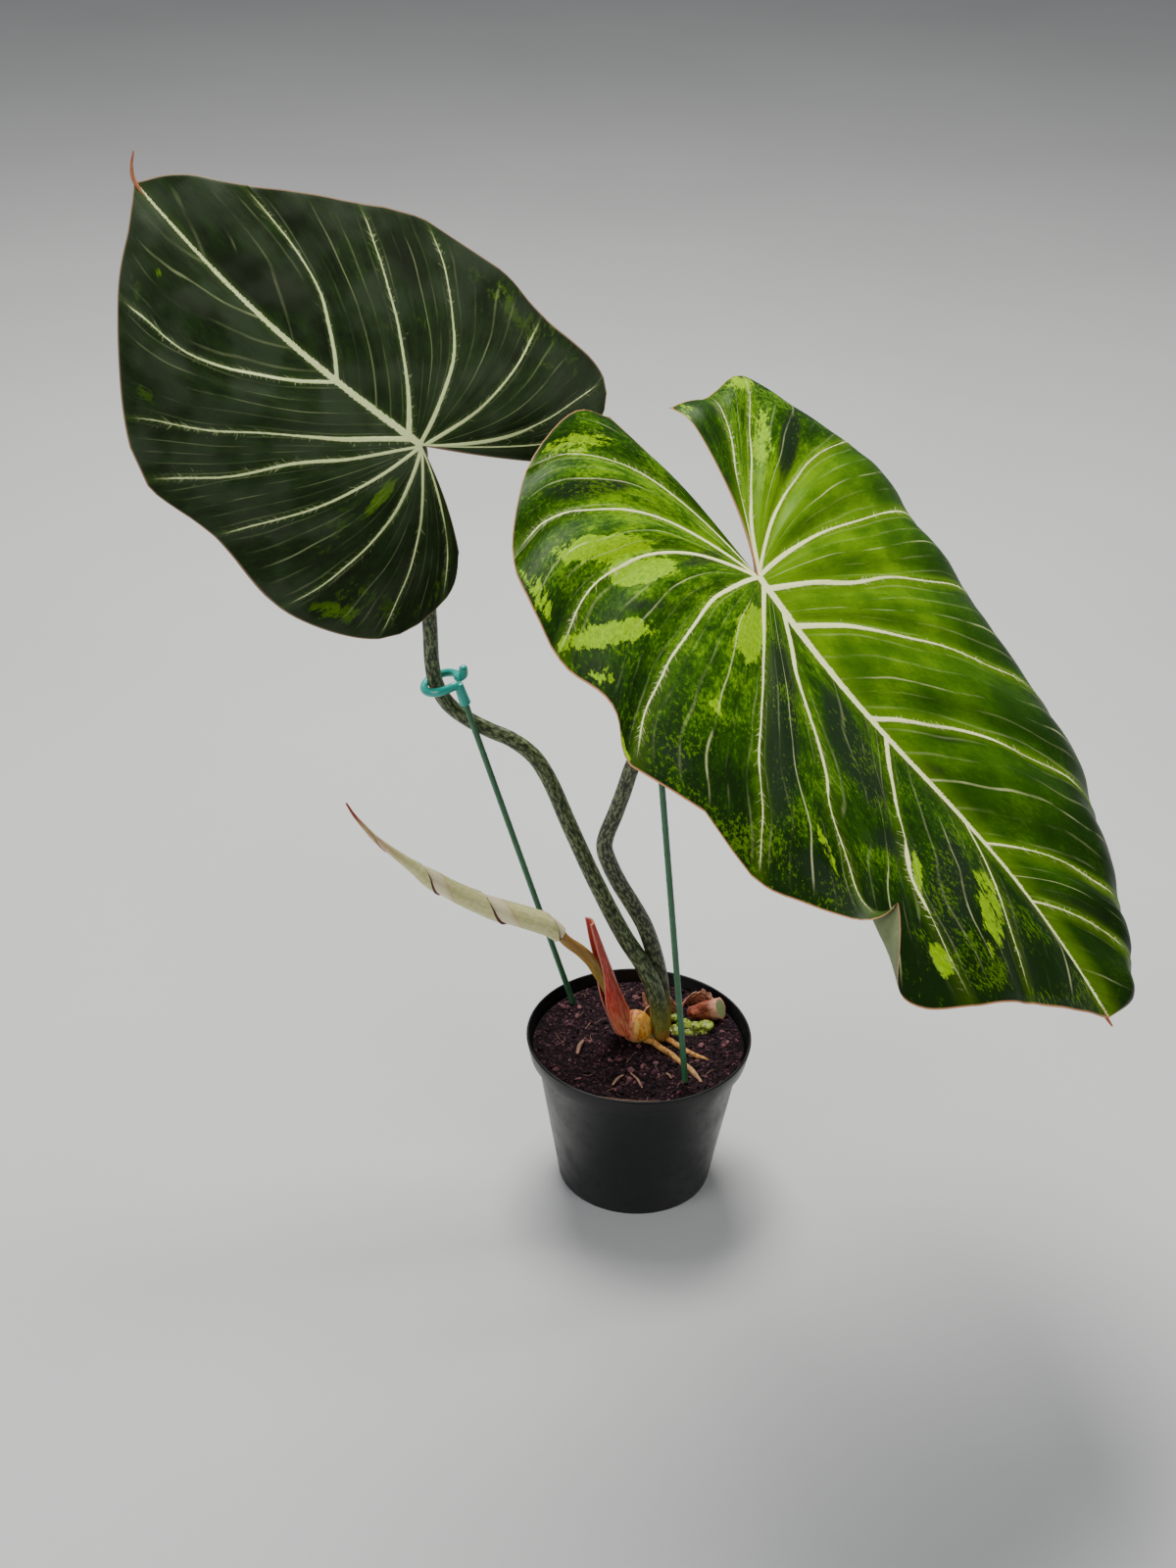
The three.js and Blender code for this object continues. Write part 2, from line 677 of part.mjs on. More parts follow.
// A furled blade: its free margin winds round it and stands out as one low step.
function rolledLeaf() {
  const size = through([5.2, 6.6, 7, 6.9, 6.3, 6, 5.7, 3.6, 2.6, 2, 1.2, 0.6]);
  const radius = (s, angle) => {
    const wound = THREE.MathUtils.euclideanModulo(angle / (2 * Math.PI) - 2.6 * s, 1);
    return size(s) * (0.92 + 0.16 * wound);
  };
  return bar(ROLLED_LEAF, radius, { sides: 12, steps: 26 });
}

const stub = (extra = 0) => bar(STUB, (s) => 5.8 + 1.2 * s + extra, { sides: 12, steps: 5, pad: extra });

const rootSizes = { root_front: [2.6, 2.4, 2.3, 2, 1.4], root_side: [2.2, 2.2, 2, 1.7, 1.2] };

function root(name, points, extra = 0) {
  const size = through(rootSizes[name]);
  return bar(points, (s) => size(s) + extra, { sides: 7, steps: 10, pad: extra });
}

// ---------------------------------------------------------------- stakes and clips

function stake({ foot, top }, extra = 0) {
  return bar([foot, top], () => STAKE_RADIUS + extra, { sides: 10, steps: 1, pad: extra });
}

// The clip is modelled upright on the stake's end, with its loop towards +X.
function clip() {
  const { rod, loop, reach, sleeveRadius, sleeveLength, sleeveTop, socket } = CLIP;
  const sleeve = new THREE.CylinderGeometry(sleeveRadius - 0.4, sleeveRadius + 0.4, sleeveLength, 12);
  sleeve.rotateX(Math.PI / 2).translate(0, 0, sleeveTop - sleeveLength / 2);
  const bore = new THREE.CylinderGeometry(STAKE_RADIUS + GAP, STAKE_RADIUS + GAP, 2 * socket, 10);
  bore.rotateX(Math.PI / 2).translate(0, 0, GAP - socket);
  const path = [[0, 0, 1.6]];
  for (let turn = 150; turn >= -145; turn -= 29.5) {
    const angle = THREE.MathUtils.degToRad(turn);
    path.push([reach + loop * Math.cos(angle), loop * Math.sin(angle), 1.6]);
  }
  path.push([1.6, -8.2, 2.6], [0.4, -8.6, 7]);
  const ring = bar(path, () => rod, { sides: 7, steps: 24 });
  return carve(fuse(sleeve, ring), bore);
}

function placeClip(mesh, { foot, top }, loopCentre) {
  const axis = vec(top).sub(vec(foot)).normalize();
  const towards = vec(loopCentre).sub(vec(top));
  towards.addScaledVector(axis, -towards.dot(axis)).normalize();
  const sideways = new THREE.Vector3().crossVectors(axis, towards);
  mesh.quaternion.setFromRotationMatrix(new THREE.Matrix4().makeBasis(towards, sideways, axis));
  mesh.position.set(...top);
}

// ---------------------------------------------------------------- the plant

const group = new THREE.Group();

function add(name, geometry, color, roughness, metalness = 0) {
  const mesh = new THREE.Mesh(geometry, new THREE.MeshStandardMaterial({ color, roughness, metalness }));
  mesh.name = name;
  group.add(mesh);
  return mesh;
}

const rearPetiole = (extra) => petiole(REAR_PETIOLE, petioleRadii.rear, 28, extra);
const frontPetiole = (extra) => petiole(FRONT_PETIOLE, petioleRadii.front, 24, extra);
const crownHole = rhizome(GAP);

add('pot', pot(), COLOURS.pot, 0.45);
add(
  'soil',
  soil([
    crownHole,
    rearPetiole(GAP),
    frontPetiole(GAP),
    stub(GAP),
    stake(LEFT_STAKE, GAP),
    stake(RIGHT_STAKE, GAP),
    root('root_front', FRONT_ROOT, GAP),
    root('root_side', SIDE_ROOT, GAP),
    ...Object.keys(SHEATHS).map(sheathHole),
  ]),
  COLOURS.soil,
  0.95,
);
add('rhizome', rhizome(), COLOURS.rhizome, 0.5);
add('petiole_rear', carve(rearPetiole(0), crownHole), COLOURS.petiole, 0.6);
add('petiole_front', carve(frontPetiole(0), crownHole), COLOURS.petiole, 0.6);
add('leaf_rear', leaf(REAR_BLADE, REAR_PETIOLE), COLOURS.rearLeaf, 0.7);
add('leaf_front', leaf(FRONT_BLADE, FRONT_PETIOLE), COLOURS.frontLeaf, 0.6);
add('cataphyll', carve(sheath('cataphyll'), crownHole, newPetiole(GAP)), COLOURS.cataphyll, 0.5);
add('petiole_new', carve(newPetiole(), crownHole), COLOURS.newPetiole, 0.5);
add('leaf_rolled', carve(rolledLeaf(), newPetiole(GAP)), COLOURS.rolledLeaf, 0.5);
add('petiole_stub', carve(stub(), crownHole), COLOURS.stub, 0.7);
const footSheath = carve(sheath('base_sheath'), crownHole, rearPetiole(GAP), frontPetiole(GAP));
add('base_sheath', footSheath, COLOURS.drySheath, 0.8);
add('dry_sheath', carve(sheath('dry_sheath'), crownHole, stub(GAP)), COLOURS.drySheath, 0.8);
add('dry_scale', sheath('dry_scale'), COLOURS.drySheath, 0.8);
add('root_front', carve(root('root_front', FRONT_ROOT), crownHole), COLOURS.root, 0.7);
add('root_side', carve(root('root_side', SIDE_ROOT), crownHole, rearPetiole(GAP)), COLOURS.root, 0.7);
add('stake_left', stake(LEFT_STAKE), COLOURS.stake, 0.5);
add('stake_right', stake(RIGHT_STAKE), COLOURS.stake, 0.5);
placeClip(add('clip_left', clip(), COLOURS.clip, 0.3), LEFT_STAKE, [-126.5, 41, 330]);
placeClip(add('clip_right', clip(), COLOURS.clip, 0.3), RIGHT_STAKE, [5, -13, 339]);

export default group;
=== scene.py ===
# %% [markdown]
# # A young Philodendron gloriosum in its nursery pot
# The plant is one rigid thing: a black pot of bark mix, a creeping stem with its bud, two open
# leaves on long stalks, a third leaf still furled, and two thin stakes with clips. The packed
# model gives every piece its place, in metres, with the pot's foot at the origin. This lesson
# gives each of them a finer skin in the same place. All the working values are in millimetres,
# because a plant is easier to think about that way, and are turned into metres at the end.

import math
import random

import bmesh
import bpy
import numpy as np
from mathutils import Matrix, Vector, noise


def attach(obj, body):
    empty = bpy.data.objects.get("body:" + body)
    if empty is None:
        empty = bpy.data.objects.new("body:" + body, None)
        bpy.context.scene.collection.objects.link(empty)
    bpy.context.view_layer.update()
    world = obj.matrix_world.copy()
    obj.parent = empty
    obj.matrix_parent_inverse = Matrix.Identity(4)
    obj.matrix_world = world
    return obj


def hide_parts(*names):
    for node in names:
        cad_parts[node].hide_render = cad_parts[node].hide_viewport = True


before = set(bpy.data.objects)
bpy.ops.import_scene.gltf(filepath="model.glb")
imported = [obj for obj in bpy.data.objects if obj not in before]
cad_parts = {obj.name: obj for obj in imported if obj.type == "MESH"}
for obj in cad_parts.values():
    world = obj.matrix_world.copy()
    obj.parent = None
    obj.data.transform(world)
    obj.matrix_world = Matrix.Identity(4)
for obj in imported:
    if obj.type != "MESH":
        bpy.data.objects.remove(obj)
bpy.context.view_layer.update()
MM = 0.001
print("packed nodes:", ", ".join(sorted(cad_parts)))

# %% [markdown]
# ## The camera
# A plant portrait is taken from above the leaves, looking down by about thirty degrees, so that
# both blades lie open to the eye. The camera is set by its place and by the three directions it
# looks along, with a slight roll, and the lens is a short telephoto.

# %% The camera
CAMERA_PLACE = (-35.7, -1278.0, 1052.3)
CAMERA_PITCH = math.radians(31)
CAMERA_ROLL = math.radians(1.5)

camera_data = bpy.data.cameras.new("portrait_camera")
camera_data.lens = 58.5
camera_data.clip_end = 20
camera = bpy.data.objects.new("portrait_camera", camera_data)
bpy.context.scene.collection.objects.link(camera)
tilt = Matrix.Rotation(math.radians(90) - CAMERA_PITCH, 4, "X")
roll = Matrix.Rotation(CAMERA_ROLL, 4, "Z")
camera.matrix_world = Matrix.Translation(Vector(CAMERA_PLACE) * MM) @ tilt @ roll
bpy.context.scene.camera = camera
print("camera at", tuple(round(c, 3) for c in camera.location))

# %% [markdown]
# ## Floor and light
# The floor is a plain pale sheet that runs far behind the plant. One large soft light hangs high
# behind the plant, where it rakes across the quilting of both leaves, and two weaker ones fill
# the shadows from the front left and the front right.

# %% Floor and light
def area_light(name, place, aim, size, power, colour=(1, 1, 1)):
    data = bpy.data.lights.new(name, "AREA")
    data.shape = "RECTANGLE"
    data.size, data.size_y = size
    data.energy = power
    data.color = colour
    light = bpy.data.objects.new(name, data)
    bpy.context.scene.collection.objects.link(light)
    direction = Vector(aim) - Vector(place)
    light.matrix_world = Matrix.Translation(place) @ direction.to_track_quat("-Z", "Y").to_matrix().to_4x4()


area_light("key_light", (-0.15, 0.75, 1.9), (0.05, 0, 0.4), (0.9, 0.9), 58, (1, 0.99, 0.94))
area_light("left_light", (-1.6, -1.2, 1.1), (0, 0, 0.35), (1.2, 1.2), 18, (0.97, 0.99, 1))
area_light("right_light", (1.5, -1.3, 1.3), (0.05, 0, 0.35), (1.2, 1.2), 15)
world = bpy.data.worlds.new("studio")
world.use_nodes = True
world.node_tree.nodes["Background"].inputs["Color"].default_value = (0.9, 0.92, 0.95, 1)
world.node_tree.nodes["Background"].inputs["Strength"].default_value = 0.22
bpy.context.scene.world = world

floor_mesh = bmesh.new()
bmesh.ops.create_grid(floor_mesh, x_segments=1, y_segments=1, size=6)
floor_data = bpy.data.meshes.new("studio_floor")
floor_mesh.to_mesh(floor_data)
floor_mesh.free()
floor = bpy.data.objects.new("studio_floor", floor_data)
bpy.context.scene.collection.objects.link(floor)

# %% [markdown]
# ## A notebook of finishes
# Every finish on the plant is a Principled shader fed by a few noises. Two small classes keep the
# node work readable. A Wire is one output of a node, and can be reckoned with like a number: each
# sum adds a Math node. A Finish is a material, and its methods add one node each, so a finish
# reads like a recipe. Patterns follow each piece through an attribute of its own, "flow", which
# holds the distance across and along it in millimetres, so nothing slides when a piece bends.

# %% Wires
class Wire:
    """One output of a node, which can be reckoned with like a number."""

    def __init__(self, finish, socket):
        self.finish, self.socket = finish, socket

    def __add__(self, other):
        return self.finish.maths("ADD", self, other)

    def __sub__(self, other):
        return self.finish.maths("SUBTRACT", self, other)

    def __rsub__(self, other):
        return self.finish.maths("SUBTRACT", other, self)

    def __mul__(self, other):
        return self.finish.maths("MULTIPLY", self, other)

    def __truediv__(self, other):
        return self.finish.maths("DIVIDE", self, other)

    def __or__(self, other):
        """The greater of the two."""
        return self.finish.maths("MAXIMUM", self, other)

    def __abs__(self):
        return self.finish.maths("ABSOLUTE", self)

    def ease(self, low, high, bottom=0.0, top=1.0):
        """Goes smoothly from bottom at low to top at high."""
        inputs = {"Value": self, "From Min": low, "From Max": high, "To Min": bottom, "To Max": top}
        return self.finish.node("MapRange", inputs, interpolation_type="SMOOTHSTEP")

    def ramp(self, *stops):
        """Turns the number into a colour, from (number, colour) pairs."""
        ramp = self.finish.node("ValToRGB", {0: self})
        elements = ramp.socket.node.color_ramp.elements
        while len(elements) < len(stops):
            elements.new(0.5)
        for element, (spot, colour) in zip(elements, stops):
            element.position = spot
            element.color = (*colour, 1)
        return ramp


print("a wire can be added, multiplied, eased and ramped")


# %% The finish helper
class Finish:
    """A material whose colour, bump and roughness are put together step by step."""

    def __init__(self, name, **sockets):
        self.material = bpy.data.materials.new(name)
        self.material.use_nodes = True
        self.tree = self.material.node_tree
        self.shader = self.tree.nodes["Principled BSDF"]
        for socket, value in sockets.items():
            self.shader.inputs[socket.replace("_", " ").title().replace("Ior", "IOR")].default_value = value

    def plug(self, value, socket):
        """Links a wire to a socket, or sets the socket to a number, a vector or a colour."""
        if isinstance(value, Wire):
            self.tree.links.new(value.socket, socket)
        elif isinstance(value, tuple) and socket.type == "RGBA":
            socket.default_value = (*value, 1)
        elif value is not None:
            socket.default_value = value

    def node(self, kind, inputs=None, out=0, **settings):
        made = self.tree.nodes.new("ShaderNode" + kind)
        for key, value in settings.items():
            setattr(made, key, value)
        for key, value in (inputs or {}).items():
            self.plug(value, made.inputs[key])
        return Wire(self, made.outputs[out])

    def maths(self, operation, a, b=None, clamp=False):
        return self.node("Math", {0: a, 1: b}, operation=operation, use_clamp=clamp)

    def joined(self, x=0.0, y=0.0, z=0.0):
        return self.node("CombineXYZ", {0: x, 1: y, 2: z})

    def place(self, name="flow", scale=(1, 1, 1)):
        """The piece's own coordinates, stretched so that a pattern gets the right grain."""
        attribute = self.node("Attribute", attribute_name=name, out=1)
        return self.node("Mapping", {"Vector": attribute, "Scale": scale})

    def object_place(self, scale=1000.0):
        return self.node("Mapping", {"Vector": self.node("TexCoord", out=3), "Scale": (scale, scale, scale)})

    def parts(self, name="flow"):
        """The three numbers of a vector attribute."""
        split = self.node("SeparateXYZ", {0: self.node("Attribute", attribute_name=name, out=1)})
        return tuple(Wire(self, output) for output in split.socket.node.outputs)

    def grain(self, where, scale, detail=3.0, rough=0.55, distortion=0.0):
        inputs = {"Vector": where, "Scale": scale, "Detail": detail, "Roughness": rough}
        return self.node("TexNoise", {**inputs, "Distortion": distortion})

    def blend(self, share, under, over):
        """Lays the colour over on the colour under, by share."""
        return self.node("Mix", {0: share, 6: under, 7: over}, out=2, data_type="RGBA")

    def colour(self, source):
        self.plug(source, self.shader.inputs["Base Color"])

    def roughness(self, source):
        self.plug(source, self.shader.inputs["Roughness"])

    def bump(self, height, distance, strength=1.0):
        """distance is how high the relief stands, in millimetres."""
        inputs = {"Height": height, "Distance": distance * MM, "Strength": strength}
        self.plug(self.node("Bump", inputs), self.shader.inputs["Normal"])


floor_paint = Finish("studio_paper", roughness=0.85, specular_ior_level=0.2)
mottle = floor_paint.grain(floor_paint.object_place(1.0), 2.2, 3)
floor_paint.colour(mottle.ramp((0.3, (0.56, 0.565, 0.57)), (0.7, (0.6, 0.605, 0.61))))
floor_paint.bump(floor_paint.grain(floor_paint.object_place(1.0), 900, 2), 0.02, 0.2)
floor.data.materials.append(floor_paint.material)
print("finish helper ready, floor painted")


def streaked(name, tones, roughness=0.5, stretch=20.0, size=0.9, spots=0.3, relief=0.15, **sockets):
    """A skin with streaks that run along a stalk: returns the finish, its streaks and its colour."""
    skin = Finish(name, roughness=roughness, **sockets)
    streaks = skin.grain(skin.place("flow", (1, 1, 1 / stretch)), size, 5, 0.68, 0.2)
    dots = skin.grain(skin.place("flow", (1, 1, 0.35)), 1.3 * size, 3, 0.6)
    tone = streaks * (1 - spots) + dots * spots
    skin.bump(tone, relief, 0.8)
    skin.roughness(tone.ease(0.3, 0.7, roughness + 0.08, roughness - 0.06))
    return skin, tone, tone.ramp(*tones)


# %% [markdown]
# ## Bent bars
# Stalks, roots, stakes and the furled leaf are all bars bent along a line. A bar starts as a flat
# grid, which is rolled up round a smooth line through a few points, and its seam and its two ends
# are merged. Because the grid knows how far round and along each point lies, the bar can carry
# ribs, a channel or a twist, and can hand that place on to its finish.

# %% Smooth lines
class SmoothLine:
    """A centripetal Catmull-Rom line through points, with directions that don't twist along it."""

    def __init__(self, points, samples=500):
        knots = np.array(points, float)
        knots = np.vstack([2 * knots[0] - knots[1], knots, 2 * knots[-1] - knots[-2]])
        path = []
        for p0, p1, p2, p3 in zip(knots, knots[1:], knots[2:], knots[3:]):
            t1 = math.sqrt(np.linalg.norm(p1 - p0))
            t2 = t1 + math.sqrt(np.linalg.norm(p2 - p1))
            t3 = t2 + math.sqrt(np.linalg.norm(p3 - p2))
            t = np.linspace(t1, t2, 30, endpoint=False)[:, None]
            a1 = ((t1 - t) * p0 + t * p1) / t1
            a2 = ((t2 - t) * p1 + (t - t1) * p2) / (t2 - t1)
            a3 = ((t3 - t) * p2 + (t - t2) * p3) / (t3 - t2)
            b1 = ((t2 - t) * a1 + t * a2) / t2
            b2 = ((t3 - t) * a2 + (t - t1) * a3) / (t3 - t1)
            path.append(((t2 - t) * b1 + (t - t1) * b2) / (t2 - t1))
        path = np.vstack(path + [knots[-2:-1]])
        walked = np.concatenate([[0], np.cumsum(np.linalg.norm(np.diff(path, axis=0), axis=1))])
        self.length = walked[-1]
        self.shares = np.linspace(0, 1, samples)
        stops = self.shares * self.length
        self.points = np.stack([np.interp(stops, walked, path[:, i]) for i in range(3)], 1)
        self.ahead = np.gradient(self.points, axis=0)
        self.ahead /= np.linalg.norm(self.ahead, axis=1)[:, None]
        aside = np.cross(self.ahead[0], np.eye(3)[np.argmin(np.abs(self.ahead[0]))])
        sides = []
        for ahead in self.ahead:
            aside = aside - ahead * aside.dot(ahead)
            aside /= np.linalg.norm(aside)
            sides.append(aside)
        self.aside = np.array(sides)

    def at(self, share):
        """Place, and the directions aside, across and ahead, at a share of the length."""
        pick = lambda rows: np.array([np.interp(share, self.shares, rows[:, i]) for i in range(3)])
        aside, ahead = pick(self.aside), pick(self.ahead)
        beyond = (share - min(1, max(0, share))) * self.length
        return pick(self.points) + ahead * beyond, aside, np.cross(ahead, aside), ahead


def through(values):
    """A smooth run through values that are spaced evenly from 0 to 1."""
    line = SmoothLine([(i * 1.0, v, 0) for i, v in enumerate(values)], 200)
    return lambda share: float(np.interp(share * (len(values) - 1), line.points[:, 0], line.points[:, 1]))


print("half-way from 0 to 8 a smooth run is at", round(through((0, 8))(0.5), 3))

# %% Bars
CAP_RIMS = (0.0, 0.55, 0.86)  # the rows that round an end, as shares of the full radius


def grid_of(bm, across, along):
    """A flat grid, as a list of (vertex, share across, share along)."""
    made = bmesh.ops.create_grid(bm, x_segments=across, y_segments=along, size=0.5)
    return [(v, v.co.x + 0.5, v.co.y + 0.5) for v in made["verts"]]


def bar(bm, line, radius, sides=24, steps=120, start=0.0, end=1.0, cap=0.12):
    """Rolls a grid up round a line. radius(share, angle) is in millimetres, cap rounds both ends."""
    flow = bm.verts.layers.float_vector.get("flow") or bm.verts.layers.float_vector.new("flow")
    extra = len(CAP_RIMS)
    rows = steps + 2 * extra
    rims = [*CAP_RIMS, *[1.0] * (steps + 1), *reversed(CAP_RIMS)]
    run = [min(1.0, max(0.0, (row - extra) / steps)) for row in range(rows + 1)]
    shares = [start + (end - start) * part for part in run]
    frames = [line.at(share) for share in shares]
    placed = []
    for vert, u, v in grid_of(bm, sides, rows):
        row = round(v * rows)
        angle = 2 * math.pi * (u % 1.0)
        reach = radius(run[row], angle)
        middle, aside, across, ahead = frames[row]
        bulge = cap * reach * math.sqrt(1 - rims[row] ** 2) * (-1 if row < extra else 1)
        x, y = (rims[row] * reach * turn(angle) for turn in (math.cos, math.sin))
        vert.co = Vector(middle + x * aside + y * across + bulge * ahead) * MM
        vert[flow] = (x, y, shares[row] * line.length)
        placed.append(vert)
    bmesh.ops.remove_doubles(bm, verts=placed, dist=1e-7)


def make_piece(name, bm, finishes, replaced, smooth=True):
    """Turns a bmesh into a piece of the plant and ties it to the model."""
    bmesh.ops.recalc_face_normals(bm, faces=bm.faces[:])
    for face in bm.faces:
        face.smooth = smooth
    mesh = bpy.data.meshes.new(name)
    bm.to_mesh(mesh)
    bm.free()
    for finish in finishes:
        mesh.materials.append(finish.material)
    piece = bpy.data.objects.new(name, mesh)
    bpy.context.scene.collection.objects.link(piece)
    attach(piece, "root")
    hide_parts(*replaced)
    print(f"{name}: {len(mesh.vertices)} points, {sum(len(p.vertices) - 2 for p in mesh.polygons)} triangles")
    return piece


# %% Where the long stalks run
stalk_lines = {
    "rear": SmoothLine([
        (14, 9, 86), (13.5, 8, 103), (10, 8, 127), (2, 11, 147), (-11, 15, 167), (-29, 23, 200),
        (-45.5, 30, 235), (-60, 36, 267), (-69, 38, 280.5), (-82, 40, 290), (-95, 41, 295.5),
        (-108.5, 41, 303), (-120, 41, 313), (-126.5, 41, 325), (-129, 40, 338), (-130, 38, 365),
        (-132, 34.5, 417), (-134, 33.5, 466), (-134.8, 34, 480.4), (-144, 33.4, 491.5),
    ]),
    "front": SmoothLine([
        (16, 21, 86), (15, 20, 101), (13, 20, 125), (9, 19.5, 147), (1.5, 17, 173), (-6.5, 14, 191),
        (-14.5, 11, 207), (-21.5, 8, 224), (-25, 6, 237), (-24, 5, 246), (-19.5, 2, 262),
        (-14.5, -2, 282), (-10, -5, 301), (3, -13, 336), (18, -19, 365), (37.5, -25, 405),
        (49.5, -28.5, 427), (52.7, -29.2, 431.1), (62.4, -36.3, 425.8),
    ]),
}
print({name: round(line.length) for name, line in stalk_lines.items()}, "mm of stalk")

# %% [markdown]
# ## How a blade grows
# A heart-shaped blade is a fan. Its side veins leave the midrib, the lowest ones all from the top
# of the stalk, bow outwards and run to the margin. So half a blade is described by a few spokes,
# each with its start on the midrib, a bow point and its end on the margin, and a vein width where
# the spoke is a vein. Between the veins the blade is quilted, and as a whole it arches from
# the midrib outwards. The margin of the front blade rolls down on one side, and on the other one
# ruffle curls up.

# %% The two blades in numbers
FRONT_BLADE = {
    "origin": (54, -30, 436), "along": (0.661, -0.497, -0.562), "up": (0.469, -0.312, 0.827),
    "length": 302, "droop": 0.0004, "twist": 0.0004, "swing": (0, 7), "quilt": 3,
    "midrib": (3.6, 3, 2.4, 1.8, 1.2, 0.6),
    "halves": [
        {
            "side": 1, "rise": 0.24, "bend": 295, "roll": 0, "ruffle": (9.55, 0.62, 0.84, 125),
            "spokes": [
                (0, -70, -10, -122, 2, 0), (0, -100, -10, -131, 32, 0), (0, -124, 6, -113, 90, 1.6),
                (0, -106, 52, -74, 138, 2.6), (0, -73, 78, -18, 159, 3), (0, -40, 86, 19, 155, 0),
                (0, -9, 91, 50, 166, 3), (2, 26, 84, 90, 154, 0), (6, 60, 80, 135, 158, 3),
                (24, 92, 64, 188, 138, 2.8), (70, 138, 72, 208, 150, 0), (92, 152, 80, 230, 142, 0),
                (112, 164, 92, 247, 110, 2.8), (172, 212, 26, 267, 68, 1.5), (240, 262, 14, 285, 38, 0),
                (302, 302, 0, 302, 0, 0),
            ],
        },
        {
            "side": -1, "rise": 0.255, "bend": 300, "roll": 9, "ruffle": None,
            "spokes": [
                (0, -56, 34, -112, 42, 0), (0, -64, 42, -106, 72, 1.2), (0, -60, 44, -109, 113, 2.4),
                (0, -58, 62, -80, 129, 0), (0, -54, 70, -42, 163, 2.6), (0, -34, 74, -14, 170, 0),
                (0, -10, 76, 20, 170, 2.8), (8, 35, 70, 72, 176, 3), (24, 58, 74, 104, 162, 0),
                (34, 77, 84, 156, 152, 3), (70, 110, 72, 188, 134, 0), (99, 140, 68, 218, 108, 2.6),
                (188, 214, 36, 266, 70, 1.2), (228, 246, 22, 292, 50, 1), (270, 290, 14, 304, 28, 0),
                (302, 302, 0, 302, 0, 0),
            ],
        },
    ],
}
REAR_BLADE = {
    "origin": (-133, 30, 482.5), "along": (-0.709, 0.084, 0.7), "up": (0.331, -0.837, 0.436),
    "length": 211, "droop": 0.0015, "twist": -0.0001, "swing": (-9.5, 0), "quilt": 2,
    "midrib": (3.2, 2.6, 2, 1.4, 1, 0.6),
    "halves": [
        {
            "side": -1, "rise": 0.09, "bend": 227, "roll": 0, "ruffle": None,
            "spokes": [
                (0, -30, 10, -56, 28, 0), (0, -44, 20.5, -69, 52, 1.8), (0, -50, 50, -58, 95, 2.2),
                (0, -29, 57, -6, 121, 2.4), (0, 10, 66, 50, 110, 2.4), (0, 46, 60, 96, 111, 2.6),
                (8, 66, 51, 130, 92, 2.6), (58, 112, 52, 176, 48, 2.4), (110, 152, 22, 196, 19, 0),
                (211, 211, 0, 211, 0, 0),
            ],
        },
        {
            "side": 1, "rise": 0.125, "bend": 300, "roll": 0, "ruffle": None,
            "spokes": [
                (0, -34, 22, -66, 50, 0), (0, -42, 36.5, -70, 74, 1.6), (0, -50.5, 49, -52, 106, 2.4),
                (0, -20, 54, -2, 105, 2.4), (0, 0, 70, 34, 111, 0), (2, 18, 76, 82, 106, 2.6),
                (10, 54, 59, 116, 85, 2.4), (58, 100, 47, 165, 46, 2.4), (112, 150, 22, 195, 22, 0),
                (211, 211, 0, 211, 0, 0),
            ],
        },
    ],
}
BLADE_THICKNESS = 0.7
for blade_name, blade in (("front", FRONT_BLADE), ("rear", REAR_BLADE)):
    veins = sum(spoke[5] > 0 for half in blade["halves"] for spoke in half["spokes"])
    print(blade_name, "blade:", blade["length"], "mm long with", veins, "side veins")

# %% From numbers to places
def spokes_at(half, a):
    """The six spoke numbers at a, which counts the spokes from the sinus and may lie between two."""
    spokes = np.array(half["spokes"], float)
    last = len(spokes) - 1
    k = np.clip(np.floor(a), 0, last - 1).astype(int)
    f = (a - k)[..., None]
    p0, p1, p2, p3 = (spokes[np.clip(k + shift, 0, last)] for shift in (-1, 0, 1, 2))
    bend = 2 * p0 - 5 * p1 + 4 * p2 - p3 + f * (3 * p1 - p0 - 3 * p2 + p3)
    return np.moveaxis(p1 + 0.5 * f * (p2 - p0 + f * bend), -1, 0)


def marks_of(half):
    """The spokes that are veins, with the two edges of the fan."""
    widths = [spoke[5] for spoke in half["spokes"]]
    return [0] + [i for i, width in enumerate(widths) if width > 0] + [len(widths) - 1]


def on_spoke(half, a, t):
    """How far along, out and curled up a spoke has come at t, from 0 on the midrib to 1."""
    start, bow_along, bow_out, edge_along, edge_out, _ = spokes_at(half, a)
    start = np.maximum(start, 0)
    along_at = lambda s: (1 - s) ** 2 * start + 2 * s * (1 - s) * bow_along + s * s * edge_along
    out_at = lambda s: 2 * s * (1 - s) * bow_out + s * s * edge_out
    along, out, curl = along_at(t), out_at(t), np.zeros(np.broadcast(a, t).shape)
    if half["ruffle"]:
        spoke, spread, foot, turn = half["ruffle"]
        bend = np.maximum(math.radians(turn) * np.exp(-(((a - spoke) / spread) ** 2)), 1e-4)
        angle = bend * np.clip((t - foot) / (1 - foot), 0, 1)
        ahead, aside = along_at(1.0) - along_at(foot), out_at(1.0) - out_at(foot)
        past = t > foot
        along = np.where(past, along_at(foot) + ahead * np.sin(angle) / bend, along)
        out = np.where(past, out_at(foot) + aside * np.sin(angle) / bend, out)
        curl = np.where(past, np.hypot(ahead, aside) * (1 - np.cos(angle)) / bend, 0)
    return along, out, curl


